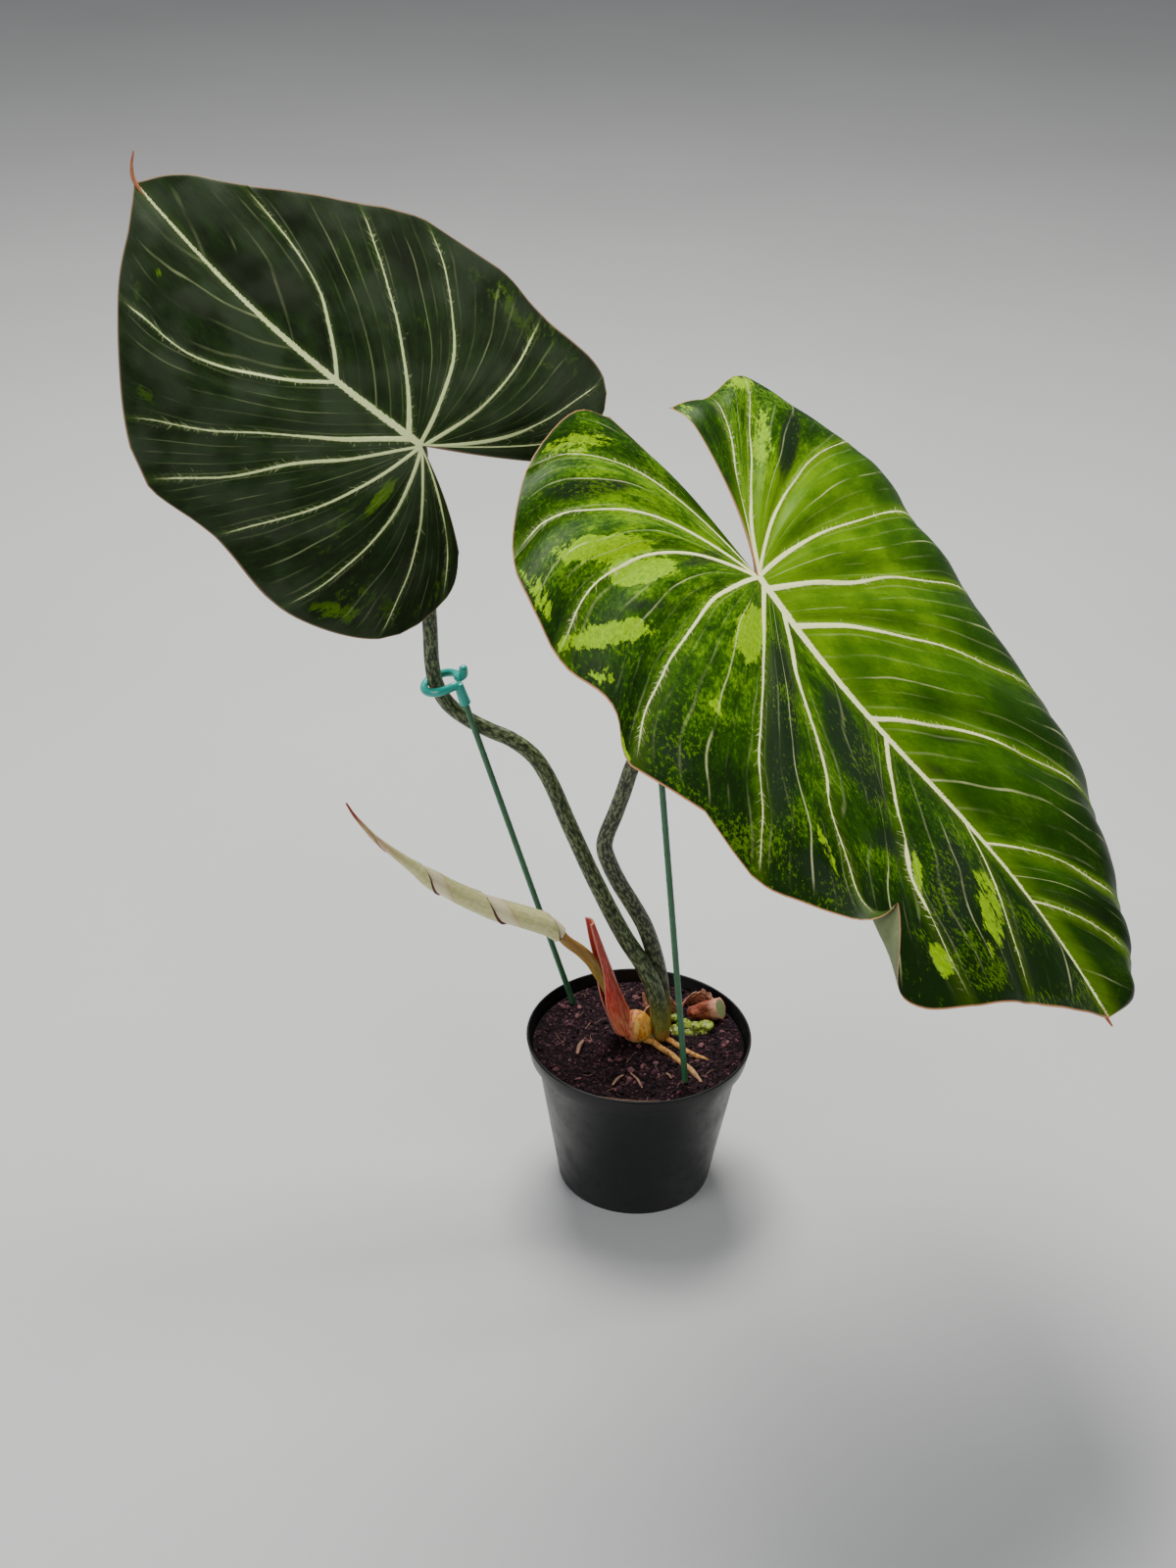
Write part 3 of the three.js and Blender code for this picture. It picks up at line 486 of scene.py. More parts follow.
def on_blade(blade, along, sideways, upwards):
    """A place on the blade, once its midrib swings, droops and twists."""
    share = np.clip(along / blade["length"], 0, 1)
    swing = blade["swing"][0] * np.sin(np.pi * share) + blade["swing"][1] * np.sin(2 * np.pi * share)
    twist, fall = blade["twist"] * along, blade["droop"] * along
    y = (sideways + swing) * np.cos(twist) - upwards * np.sin(twist)
    z = (sideways + swing) * np.sin(twist) + upwards * np.cos(twist)
    axis = np.array(Vector(blade["along"]).normalized())
    up = np.array(blade["up"]) - axis * np.dot(blade["up"], axis)
    up /= np.linalg.norm(up)
    ahead = np.sin(fall) / blade["droop"] + z * np.sin(fall)
    lift = (np.cos(fall) - 1) / blade["droop"] + z * np.cos(fall)
    aside = np.cross(axis, up)
    place = [blade["origin"][i] + y * aside[i] + ahead * axis[i] + lift * up[i] for i in range(3)]
    return np.stack(place, -1)


def blade_place(blade, half, a, t, relief):
    """A place on half a blade, with its rolled or ruffled margin and the relief on top of that."""
    along, out, curl = on_spoke(half, a, t)
    last = len(half["spokes"]) - 1
    lift = curl - half["roll"] * np.maximum(0, (t - 0.8) / 0.2) ** 2 * np.minimum(1, (last - a) / 1.5)
    slope = half["rise"] - out / half["bend"]
    y = half["side"] * (half["bend"] * (math.sin(half["rise"]) - np.sin(slope)) - lift * np.sin(slope))
    z = half["bend"] * (np.cos(slope) - math.cos(half["rise"])) + lift * np.cos(slope)
    return on_blade(blade, along, y, z + relief)


hub = blade_place(FRONT_BLADE, FRONT_BLADE["halves"][0], np.array([4.0]), np.array([0.0]), 0.0)[0]
print("the front blade's veins meet at", hub.round(1))

# %% [markdown]
# ## Columns that follow the veins
# A vein is three millimetres wide on a blade of four hundred, so an even grid would miss it. The
# grid's columns are packed close beside each vein, at a fixed distance from it in millimetres, and
# spread out evenly in the panels between. Both halves then take the same stations along the
# midrib, so that they can be sewn together there without a seam.

# %% Columns and rows
VEIN_STEPS = (0.0, 0.45, 0.9, 1.5)  # in vein half-widths
COLUMN_SPACING = 5.6
MIN_COLUMNS = 10
FAN_SAMPLES = 9


def vein_reach(width, t):
    """Half the width of a side vein, in millimetres: it tapers towards the margin."""
    return 0.5 * width * (1.02 - 0.72 * t ** 0.8)


def panel_widths(half, marks, t):
    """How wide each panel is at t, measured square to the veins."""
    widths = []
    for low, high in zip(marks, marks[1:]):
        a = np.linspace(low, high, FAN_SAMPLES)[:, None]
        along, out, _ = on_spoke({**half, "ruffle": None}, a, t[None, :])
        ahead, aside, _ = on_spoke({**half, "ruffle": None}, a, t[None, :] + 0.01)
        slant = np.stack([ahead - along, aside - out], -1)[1:]
        chord = np.stack([np.diff(along, axis=0), np.diff(out, axis=0)], -1)
        step = np.hypot(chord[..., 0], chord[..., 1]).sum(0)
        cross = np.abs(slant[..., 0] * chord[..., 1] - slant[..., 1] * chord[..., 0]).sum(0)
        size = np.maximum(np.hypot(slant[..., 0], slant[..., 1]).mean(0), 1e-6)
        widths.append(np.clip(cross / size, 0.02, step + 0.02))
    return widths


def panel_columns(width, low_vein, high_vein, t):
    """Where the columns of one panel run, as shares of its width: packed beside its two veins."""
    count = max(MIN_COLUMNS, 2 * round(width.max() / COLUMN_SPACING))
    shares = np.linspace(0, 1, count + 1)[:, None] * np.ones_like(t)[None, :]
    near = {}
    for side, vein in (("low", low_vein), ("high", high_vein)):
        steps = enumerate(VEIN_STEPS if vein > 0 else VEIN_STEPS[:1])
        near[side] = [np.minimum(i / count, step * vein_reach(vein, t) / width) for i, step in steps]
    first, last = len(near["low"]) - 1, count - len(near["high"]) + 1
    shares[:first + 1] = near["low"]
    shares[last:] = 1 - np.array(near["high"][::-1])
    for i in range(first + 1, last):
        shares[i] = shares[first] + (shares[last] - shares[first]) * (i - first) / (last - first)
    return shares


class Columns:
    """Where the columns of half a blade run: place(x, row) turns a steady column number into a."""

    def __init__(self, half, t):
        self.half, self.marks = half, marks_of(half)
        veins = [half["spokes"][mark][5] for mark in self.marks]
        self.widths = panel_widths(half, self.marks, t)
        self.knots = [panel_columns(*panel, t) for panel in zip(self.widths, veins, veins[1:])]
        self.steady = sorted({k + i / (len(s) - 1) for k, s in enumerate(self.knots) for i in range(len(s))})

    def place(self, x, row):
        """Panel number (whole on a vein) and spoke number of column x in a row."""
        k = min(int(x + 1e-9), len(self.knots) - 1)
        shares = self.knots[k][:, row]
        share = float(np.interp(x - k, np.linspace(0, 1, len(shares)), shares))
        return k + share, self.marks[k] + share * (self.marks[k + 1] - self.marks[k])

    def start(self, x):
        """How far along the midrib column x starts."""
        a = np.array([self.place(x, 0)[1]])
        return max(0.0, float(spokes_at(self.half, a)[0][0]))


def shared_stations(columns, length):
    """Stations on the midrib for both halves, with the veins' own starts kept exactly."""
    on_veins = {c.start(x) for c in columns for x in range(len(c.marks))}
    others = {c.start(x) for c in columns for x in c.steady}
    kept = [s for s in on_veins if 1.0 < s < length]
    for start in sorted(others):
        if 1.0 < start < length - 1 and min((abs(start - s) for s in kept), default=9) > 0.7:
            kept.append(start)
    return sorted(kept) + [length]


def columns_with(columns, stations):
    """The column numbers of one half: its own in the fan, then one for each shared station."""
    own = [x for x in columns.steady if columns.start(x) <= 0.0]
    trial = np.linspace(own[-1], len(columns.marks) - 1, 4000)
    starts = np.maximum.accumulate([columns.start(x) for x in trial])
    beyond = []
    for station in stations:
        later = [x for x in range(len(columns.marks)) if x > own[-1]]
        whole = [x for x in later if abs(columns.start(x) - station) < 1e-9]
        beyond.append(whole[0] if whole else float(np.interp(station, starts, trial)))
    return own, beyond


near_midrib, near_margin = (0.0, 0.006, 0.014, 0.026, 0.042, 0.062), (0.985, 1.0)
rows = np.array([*near_midrib, *np.linspace(0.085, 0.97, 46), *near_margin])
print("rows from the midrib to the margin:", len(rows))

# %% [markdown]
# ## Sewing a blade
# A blade is a closed skin: each half gets one grid for its upper side and one for its underside,
# and the points of both are moved on to the fan. At the midrib both halves have the same
# stations and at the margin both sides meet, so merging doubles sews the whole skin together.
# The fine relief is what fingers feel: quilting between the veins, a low crest on each vein, and
# below it a strong rounded rib. Every point also keeps what the finish needs to know: how far it
# is from the nearest vein, the midrib and the margin, and how much of a pale or a dark patch it
# has. The patches are soft ovals; it is the finish that gives them their torn outline.

# %% Patches of lime and dark green
patches = {
    # each oval: along, sideways, half-length, half-width, degrees it is turned by, strength
    "front": {
        "lime": [
            (-54, 91, 32, 8, -71, 1), (-33, 79, 24, 9, -78, 1), (-13, 127, 28, 7, -70, 1),
            (26, 43, 26, 10, 65, 1), (-65, -71, 29, 8, 51, 0.6), (-103, -98, 17, 7, 79, 0.7),
            (-114, 46, 32, 8, -80, 0.6), (51, 102, 6, 3, 87, 0.8), (24, 112, 8, 6, 18, 0.7),
            (36, 162, 15, 2, 17, 0.8), (88, 140, 13, 5, 78, 0.7), (-51, 143, 18, 7, 20, 0.6),
            (2, 150, 13, 6, -34, 0.6), (178, 76, 23, 3, 53, 0.8), (220, 108, 16, 7, 33, 0.7),
            (215, 48, 39, 13, 49, 0.6), (-102, -43, 11, 4, 42, 0.5), (141, 114, 20, 5, 25, 0.5),
        ],
        "dark": [
            (73, 70, 65, 10, 51, 1), (158, 131, 26, 10, -1, 0.8), (108, 41, 41, 14, 36, 0.9),
            (195, 65, 40, 13, 60, 0.9), (-56, -87, 30, 6, 58, 1), (-87, 67, 32, 6, -73, 0.8),
            (-23, 32, 22, 4, -86, 0.8), (270, 60, 37, 4, -62, 0.9), (133, -35, 18, 4, -54, 0.4),
            (171, -57, 31, 4, -41, 0.3), (58, 143, 15, 5, 7, 0.8), (242, 5, 18, 12, 4, 0.8),
            (137, -4, 16, 5, -43, 0.7), (160, 74, 20, 10, -56, 0.7), (-13, 94, 18, 5, -63, 0.6),
            (-92, -60, 8, 6, -45, 0.5),
        ],
    },
    "rear": {
        "lime": [
            (21, 97, 28, 6, 19, 0.62), (-30, -100, 21, 7, -35, 0.66), (-2, -37, 15, 4, 86, 0.9),
            (175, -36, 12, 4, 33, 0.5), (-22, 84, 6, 3, -44, 0.7), (167, -24, 1, 2, -33, 1.4),
            (4, -69, 20, 10, 86, 0.5), (130, -74, 10, 4, 5, 0.5), (45, 52, 11, 5, 60, 0.5),
            (104, 59, 21, 8, 24, 0.4), (-60, -48, 21, 3, 66, 0.6), (2, 98, 40, 16, 0, 0.46),
            (-36, -84, 36, 14, -27, 0.48), (30, -96, 30, 9, -20, 0.34), (70, 50, 26, 9, 35, 0.3),
        ],
        "dark": [
            (123, 14, 29, 11, -17, 0.9), (75, 78, 23, 8, 24, 0.8), (136, 50, 14, 4, -21, 0.7),
            (138, -20, 19, 5, -18, 0.6),
        ],
    },
}


def patch_share(ovals, along, sideways):
    """How deep a place lies inside soft ovals, from 0 to 1."""
    share = np.zeros(along.shape)
    for a, s, length, width, turn, strength in ovals:
        c, n = math.cos(math.radians(turn)), math.sin(math.radians(turn))
        u = ((along - a) * c + (sideways - s) * n) / length
        v = ((sideways - s) * c - (along - a) * n) / width
        share = np.maximum(share, strength * np.clip(1.5 - np.hypot(u, v), 0, 1))
    return share


for side, kinds in patches.items():
    print(side, "blade:", {kind: len(ovals) for kind, ovals in kinds.items()}, "patches")

# %% The form of a blade's skin
MIDRIB_CREST = 0.5
VEIN_CREST = 0.3
FULL_PANEL = 24.0  # a narrower panel is puffed up less
PUFFED_FROM = 0.35  # share of the way out where the quilting has its full height
THIN_FROM = 0.97  # share of the way out where the wall starts to taper
CALM_FROM, CALM_OVER = -62.0, 30.0  # where along the front blade the calm half begins
HALF_PANELS = 20  # added to the panel numbers of one half, so that no two panels look alike
print("crests:", MIDRIB_CREST, "mm on the midrib,", VEIN_CREST, "mm on a side vein")


def vein_distance(columns, panel, t):
    """Distance to the nearest side vein and that vein's half-width, both in millimetres."""
    far = np.full(panel.shape, 60.0)
    near_width = np.full(panel.shape, 1.0)
    for k, width in enumerate(columns.widths):
        inside = (panel >= k - 1e-9) & (panel <= k + 1 + 1e-9)
        for end in (k, k + 1):
            vein = columns.half["spokes"][columns.marks[end]][5]
            if vein > 0:
                distance = np.abs(panel - end) * width[None, :]
                closer = inside & (distance < far)
                far = np.where(closer, distance, far)
                near_width = np.where(closer, vein_reach(vein, t)[None, :], near_width)
    return far, near_width


def unevenness(x, y):
    """A slow natural waviness, within a millimetre."""
    return 0.45 * np.sin(x / 13 + 1.3 * np.sin(y / 31)) * np.sin(y / 17 + 0.8) + 0.3 * np.sin(x / 37 - y / 23)


class HalfSkin:
    """What the skin and its finish need to know at each point of half a blade."""

    def __init__(self, blade, half, columns, numbers):
        self.blade, self.half, self.columns = blade, half, columns
        spots = np.array([[columns.place(x, row) for row in range(len(rows))] for x in numbers])
        self.panel, self.a = spots[..., 0], spots[..., 1]
        self.t = np.broadcast_to(rows[None, :], self.a.shape)
        self.far, self.width = vein_distance(columns, self.panel, rows)
        self.along, self.out, _ = on_spoke(half, self.a, self.t)
        self.sideways = self.out * half["side"]
        self.middle = np.hypot(np.minimum(self.along, 0), self.out)
        self.share = np.clip(self.along / blade["length"], 0, 1)

    def relief(self):
        """How high the upper side stands above the plain arched blade."""
        nearest = np.minimum(self.panel.astype(int), len(self.columns.widths) - 1)
        panels = np.array(self.columns.widths)[nearest, np.arange(len(rows))]
        puffed = np.minimum(1, self.t / PUFFED_FROM) * np.minimum(1, panels / FULL_PANEL)
        crests = VEIN_CREST * np.exp(-((self.far / self.width) ** 2))
        crests += puffed * 0.2 * np.cos(6 * np.pi * self.panel)
        relief = self.blade["quilt"] * np.sin(np.pi * self.panel) ** 2 * puffed
        relief += crests * np.minimum(1, self.middle / 9)
        uneven = puffed * unevenness(self.along, self.sideways)
        relief += (1 - np.exp(-((self.far / 5) ** 2))) * uneven
        midrib = np.exp(-((self.middle / (2.3 - 1.7 * self.share)) ** 2))
        return relief + MIDRIB_CREST * (1 - 0.7 * self.share) * midrib

    def under(self, keel_at):
        """How far the ribs and the midrib stand out below."""
        keel = keel_at(self.share)
        ribs = np.exp(-((self.far / (1.3 * self.width)) ** 2)) * (1 - 0.5 * self.t)
        return np.maximum(2.0 * self.width * ribs, keel * np.exp(-((self.middle / (0.9 * keel)) ** 2)))

    def taper(self):
        """How much of the wall is left: it comes down to nothing at the margin."""
        taper = np.sqrt(1 - (np.clip((self.t - THIN_FROM) / (1 - THIN_FROM), 0, 1)) ** 2)
        taper[0, 1:] = taper[-1, :] = 0
        return taper

    def layers(self, ovals):
        """The attributes that the finish reads, three numbers to a point."""
        start, _, _, edge_along, edge_out, _ = spokes_at(self.half, self.a)
        spoke = np.hypot(edge_along - start, edge_out)
        lobe_edge = np.where(self.panel < 1, self.panel * self.columns.widths[0][None, :], 1e3)
        margin = np.minimum((1 - self.t) * spoke, lobe_edge)
        left = self.half["side"] < 0
        calm = np.clip((self.along - CALM_FROM) / CALM_OVER, 0, 1) * left
        lime, dark = (patch_share(ovals[kind], self.along, self.sideways) for kind in ("lime", "dark"))
        return {
            "ribs": np.stack([self.far, self.width, self.middle], -1),
            "weft": np.stack([self.panel + HALF_PANELS * left, self.t * spoke, margin], -1),
            "flat": np.stack([self.along, self.sideways, self.share], -1),
            "tint": np.stack([lime, dark, calm], -1),
        }


# %% Sewing the skin
def sheet(bm, place, layers, material):
    """Moves a grid on to the given places and gives its points their attributes."""
    across, along = place.shape[0] - 1, place.shape[1] - 1
    kept = {name: bm.verts.layers.float_vector[name] for name in layers}
    faces = set()
    for vert, u, v in grid_of(bm, across, along):
        spot = round(u * across), round(v * along)
        vert.co = Vector(place[spot]) * MM
        for name, values in layers.items():
            vert[kept[name]] = values[spot]
        faces.update(vert.link_faces)
    for face in faces:
        face.material_index = material


def blade_skin(bm, blade, ovals):
    for name in ("ribs", "weft", "flat", "tint"):
        bm.verts.layers.float_vector.new(name)
    fans = [Columns(half, rows) for half in blade["halves"]]
    stations = shared_stations(fans, blade["length"])
    rib_depth, spots = through(blade["midrib"]), np.linspace(0, 1, 101)
    depths = np.array([rib_depth(spot) for spot in spots])
    keel_at = lambda shares: np.interp(shares, spots, depths)
    wall = BLADE_THICKNESS / 2
    for half, columns in zip(blade["halves"], fans):
        own, beyond = columns_with(columns, stations)
        skin = HalfSkin(blade, half, columns, own + beyond)
        relief, under, taper, layers = skin.relief(), skin.under(keel_at), skin.taper(), skin.layers(ovals)
        starts = np.array([0.0] * len(own) + stations)
        inside = starts < blade["length"]
        on_rib = MIDRIB_CREST * (1 - 0.7 * np.clip(starts / blade["length"], 0, 1))
        for upper in (True, False):
            height = relief + taper * (wall if upper else -wall - under)
            place = blade_place(blade, half, skin.a, skin.t, height)
            midrib_wall = wall if upper else -wall - keel_at(starts / blade["length"])
            place[:, 0] = on_blade(blade, starts, 0 * starts, on_rib + midrib_wall * inside)
            place[-1, :] = place[-1, 0]
            sheet(bm, place, layers, 0 if upper else 1)
    bmesh.ops.remove_doubles(bm, verts=bm.verts[:], dist=2e-6)
    bmesh.ops.holes_fill(bm, edges=[e for e in bm.edges if e.is_boundary], sides=8)
    print("open edges:", sum(not e.is_manifold for e in bm.edges))


def blade_piece(name, blade, finishes, node, slot):
    bm = bmesh.new()
    blade_skin(bm, blade, patches[slot.split("_")[0]])
    weft = bm.verts.layers.float_vector["weft"]
    for edge in bm.edges:
        edge.smooth = not all(vert[weft].z < 1e-6 for vert in edge.verts)
    return make_piece(name, bm, finishes, (node,))


# %% [markdown]
# ## The blades' finishes
# Gloriosum has velvety leaves: a soft sheen over a matt skin, which goes pale where the surface
# turns away. These plants are variegated, so the green is marbled. The marbling is a noise that
# is stretched along the veins; added to the soft patches and cut off at a threshold it gives
# their ragged islands. The veins are drawn from the distance each point carries, with hair-fine
# spurs that leave them at a slant, a painted yellow glow beside them and beside the midrib, which
# stands for light shining through the blade, and one thin vein in mid-panel. The rear blade also
# gets cloudy grey patches of painted sheen. No vein runs quite true: a slow noise along its
# length pushes it a millimetre or two to one side.

# %% Swaying veins
SWAY_LENGTH = 58.0
SWAY = 10.0
VEINLETS = 5.0  # in each panel between two side veins
print("a side vein sways about every", SWAY_LENGTH, "mm, with", VEINLETS, "veinlets to a panel")


def sway_of(leaf, line, reach):
    """How the line with this number sways to one side along its reach, as a noise about zero."""
    path = leaf.joined(reach / SWAY_LENGTH, line * 7.3)
    return (leaf.grain(path, 1, 1, 0.3) - 0.5) * reach.ease(8, 70)


def swayed(leaf, far, panel, reach):
    """The distance to the nearest side vein, once that vein has swayed."""
    nearest = leaf.maths("ROUND", panel)
    side = leaf.maths("SIGN", panel - nearest)
    return abs(far * side + sway_of(leaf, nearest, reach) * SWAY)


def from_middle(leaf, number):
    """How far the fraction of a number is from a half."""
    return abs(leaf.maths("FRACT", number) - 0.5)


# %% The marbled green
def marbled_green(leaf, look, noises):
    """The green between the veins, with its velvety dark patches, specks and lime islands."""
    flecks, crumbs, clouds, stripes = noises
    along, _, _ = leaf.parts("flat")
    _, _, margin = leaf.parts("weft")
    lime, dark, calm = leaf.parts("tint")
    marbled = 1.0 - calm * look["calm"]
    tone = (flecks * 1.1 + crumbs * 0.8 - 0.95) * marbled + 0.5 + (clouds - 0.5) * 0.4
    tone += (stripes - 0.5) * (calm * -0.6 + 1.0) * look["stripes"] + calm * look["calm_light"]
    tone += margin.ease(2, 85, *look["to_margin"]) + along.ease(-20, 220) * look["to_tip"]
    tone += along.ease(-90, 20, 1, 0) * look["to_lobes"]
    green = tone.ramp(*look["greens"])
    ragged = ((flecks - 0.5) * 1.1 + (crumbs - 0.5) * 0.3) * look["torn"]
    in_dark = (ragged * 0.45 + (stripes - 0.5) * 0.9 + dark).ease(0.2, 0.7, 0, look["patch"])
    green = leaf.blend(in_dark, green, look["velvet"])
    specks = (clouds * 0.6 + crumbs).ease(0.87, 0.92) * marbled * look["specks"]
    green = leaf.blend(specks, green, look["lime"])
    in_lime = (lime + ragged).ease(look["cut"], look["cut"] + 0.12, 0, look["patch"])
    in_lime *= lime.ease(0, 0.15, 0.5, 1)
    ripe = leaf.blend(crumbs.ease(0.3, 0.7), look["lime"], look["lime_light"])
    return leaf.blend(in_lime, green, leaf.blend(lime.ease(*look["ripe"]), look["speck"], ripe))


print("marbling mixed from flecks, crumbs, clouds and stripes")


# %% The blades' upper side
def blade_coat(name, look):
    leaf = Finish(name, roughness=look["rough"], sheen_weight=look["sheen"], sheen_roughness=0.45,
                  sheen_tint=look["nap"], specular_ior_level=look["gloss"], specular_tint=(0.8, 1, 0.55, 1))
    far, width, middle = leaf.parts("ribs")
    panel, reach, margin = leaf.parts("weft")
    along, sideways, share = leaf.parts("flat")
    calm = leaf.parts("tint")[2]
    far = swayed(leaf, far, panel, reach)
    width *= reach.ease(10, 140, look["slim"], 0.4 * look["slim"])
    flecks = leaf.grain(leaf.place("weft", (7, 1 / 16, 0)), 1, 8, 0.72, 0.3)
    crumbs = leaf.grain(leaf.place("weft", (30, 1 / 3.5, 0)), 1, 5, 0.75, 0.2)
    clouds = leaf.grain(leaf.place("flat", (1 / 34, 1 / 34, 0)), 1, 2, 0.5)
    stripes = leaf.grain(leaf.place("weft", (9, 1 / 70, 0)), 1, 5, 0.6)
    green = marbled_green(leaf, look, (flecks, crumbs, clouds, stripes))

    # Painted glow: beside the veins and the midrib the green is lit up yellow, standing for light that shines
    # through the blade.
    beside_veins = (far - width).ease(0, look["halo"], 1, 0)
    beside = leaf.maths("ADD", beside_veins, middle.ease(2, look["halo"] * 1.9, 1, 0), clamp=True)
    painted_glow = beside * flecks.ease(0.2, 0.7, 0.4, 1) * calm.ease(0, 1, look["shy"], 1) * look["painted_glow"]
    green = leaf.blend(painted_glow, green, look["painted_glow_tone"])
    # Cloudy grey patches of painted sheen, used only on the rear blade.
    green = leaf.blend(clouds.ease(0.42, 0.62) * look["painted_sheen"], green, PAINTED_SHEEN_GREY)

    slant = leaf.joined(far * -1.3 + reach, far * 0.2, panel)
    hairs = far * -0.045 + leaf.grain(slant, 1.1, 3, 0.6)
    spurs = hairs.ease(0.5, 0.64, 0, look["spurs"]) * far.ease(2, 9, 1, 0)
    core = (far - width - (crumbs * 0.8 - 0.4)).ease(-0.15, 0.35, 1, 0)
    bent = sway_of(leaf, leaf.maths("FLOOR", panel), reach) * 0.3 + panel
    thin = from_middle(leaf, bent).ease(0.004, 0.014, 1, 0) * stripes.ease(0.4, 0.6, 0, look["thin"])
    finest = from_middle(leaf, bent * VEINLETS).ease(0.02, 0.09, 1, 0)
    finest *= stripes.ease(0.42, 0.62, 0, look["finest"])
    side_veins = (core | spurs | thin | finest) * margin.ease(*look["fade"])
    slant = leaf.joined(middle * -1.2 + along, middle * 0.2, sideways)
    rib_edge = leaf.grain(slant, 1.0, 3, 0.6) * 2.6 - 1.2
    rib = (middle - share.ease(0, 1, *look["rib"]) - rib_edge).ease(-0.2, 0.6, 1, 0)
    veins = side_veins | rib * along.ease(-6, 2)
    skin = leaf.blend(veins, green, leaf.blend(crumbs.ease(0.3, 0.7), look["vein"], look["vein_light"]))
    leaf.colour(leaf.blend(margin.ease(0.5, 1.3, 1, 0), skin, look["margin"]))
    nap = leaf.grain(leaf.place("flat"), 1.6, 3, 0.6)
    leaf.bump(nap * 0.25 + stripes * 0.6 + veins * 0.5, 0.35, 0.8)
    leaf.roughness(veins.ease(0, 1, look["rough"], 0.5))
    print(f"{name}: {len(leaf.tree.nodes)} nodes")
    return leaf


# %% The blades' underside
def blade_back(name, look):
    back = Finish(name, roughness=0.62, sheen_weight=0.15, specular_ior_level=0.3)
    far, width, middle = back.parts("ribs")
    margin = back.parts("weft")[2]
    mottle = back.grain(back.place("weft", (8, 1 / 14, 0)), 1, 5, 0.6, 0.3)
    net = back.grain(back.place("flat"), 0.55, 4, 0.6)
    skin = (mottle * 0.7 + net * 0.3).ramp(*look["back"])
    veins = (far - width).ease(0, 1.4, 1, 0) | middle.ease(2.5, 5, 1, 0)
    skin = back.blend(veins * 0.75, skin, look["back_vein"])
    back.colour(back.blend(margin.ease(0.5, 1.4, 1, 0), skin, look["margin"]))
    back.bump(net + mottle, 0.25, 0.7)
    print(f"{name}: {len(back.tree.nodes)} nodes")
    return back


# %% What each blade looks like
# The grey of the painted sheen patches.
PAINTED_SHEEN_GREY = (0.045, 0.057, 0.037)
# Each look also sets its painted glow beside the veins: its tone, its reach and its strength.
looks = {
    "front": {
        "rough": 0.42, "sheen": 0.02, "nap": (0.6, 0.85, 0.4, 1), "gloss": 0.1, "painted_sheen": 0.0,
        "greens": (
            (0.24, (0.004, 0.017, 0.001)), (0.42, (0.009, 0.037, 0.0004)), (0.56, (0.019, 0.068, 0.0004)),
            (0.7, (0.05, 0.135, 0.0004)), (0.88, (0.15, 0.3, 0.0004)),
        ),
        "calm": 0.8, "calm_light": 0.13, "stripes": 0.4, "specks": 0.4,
        "to_margin": (-0.15, 0.14), "to_tip": -0.2, "to_lobes": 0.12,
        "patch": 0.95, "torn": 1.5, "cut": 0.46, "ripe": (0.02, 0.3),
        "velvet": (0.009, 0.021, 0.008), "speck": (0.045, 0.125, 0.0004),
        "lime": (0.14, 0.3, 0.0002), "lime_light": (0.32, 0.55, 0.0004),
        "halo": 7.0, "painted_glow_tone": (0.12, 0.24, 0.0008), "painted_glow": 0.7, "shy": 0.35,
        "slim": 0.95, "spurs": 0.5, "thin": 0.4, "finest": 0.1, "fade": (3, 26), "rib": (2.3, 0.6),
        "vein": (0.88, 0.93, 0.33), "vein_light": (1, 1, 0.62), "margin": (0.42, 0.2, 0.1),
        "back": ((0.3, (0.1, 0.14, 0.045)), (0.7, (0.19, 0.23, 0.09))), "back_vein": (0.34, 0.38, 0.16),
    },
    "rear": {
        "rough": 0.45, "sheen": 0.19, "nap": (0.75, 0.85, 0.65, 1), "gloss": 0.2, "painted_sheen": 0.45,
        "greens": (
            (0.25, (0.004, 0.009, 0.003)), (0.5, (0.009, 0.021, 0.0045)), (0.75, (0.012, 0.038, 0.005)),
        ),
        "calm": 0.0, "calm_light": 0.0, "stripes": 1.1, "specks": 0.0,
        "to_margin": (-0.05, 0.05), "to_tip": 0.0, "to_lobes": 0.0,
        "patch": 0.85, "torn": 2.2, "cut": 0.5, "ripe": (0.4, 0.75),
        "velvet": (0.007, 0.011, 0.005), "speck": (0.03, 0.07, 0.002),
        "lime": (0.045, 0.11, 0.002), "lime_light": (0.11, 0.22, 0.003),
        "halo": 2.5, "painted_glow_tone": (0.07, 0.13, 0.02), "painted_glow": 0.35, "shy": 1.0,
        "slim": 0.76, "spurs": 0.35, "thin": 0.22, "finest": 0.09, "fade": (3, 20), "rib": (1.7, 0.3),
        "vein": (0.7, 0.88, 0.3), "vein_light": (0.96, 1, 0.56), "margin": (0.26, 0.16, 0.1),
        "back": ((0.3, (0.035, 0.06, 0.02)), (0.7, (0.07, 0.1, 0.04))), "back_vein": (0.2, 0.26, 0.12),
    },
}
for side, blade in (("front", FRONT_BLADE), ("rear", REAR_BLADE)):
    coats = [blade_coat(f"{side}_leaf_upper", looks[side]), blade_back(f"{side}_leaf_under", looks[side])]
    blade_piece(f"blade_{side}", blade, coats, f"leaf_{side}", f"{side}_leaf")

# %% [markdown]
# ## Stalks
# The two long stalks are as thick as a pencil, round behind and slightly flattened in front, with
# fine lengthwise ribs. Just below the blade each has a knee, a short swollen joint that turns the
# blade to the light. The top of the stalk, from the knee on, belongs to the blade in the packed
# model, so it is a piece of its own here as well, and meets the stalk where the solids meet.

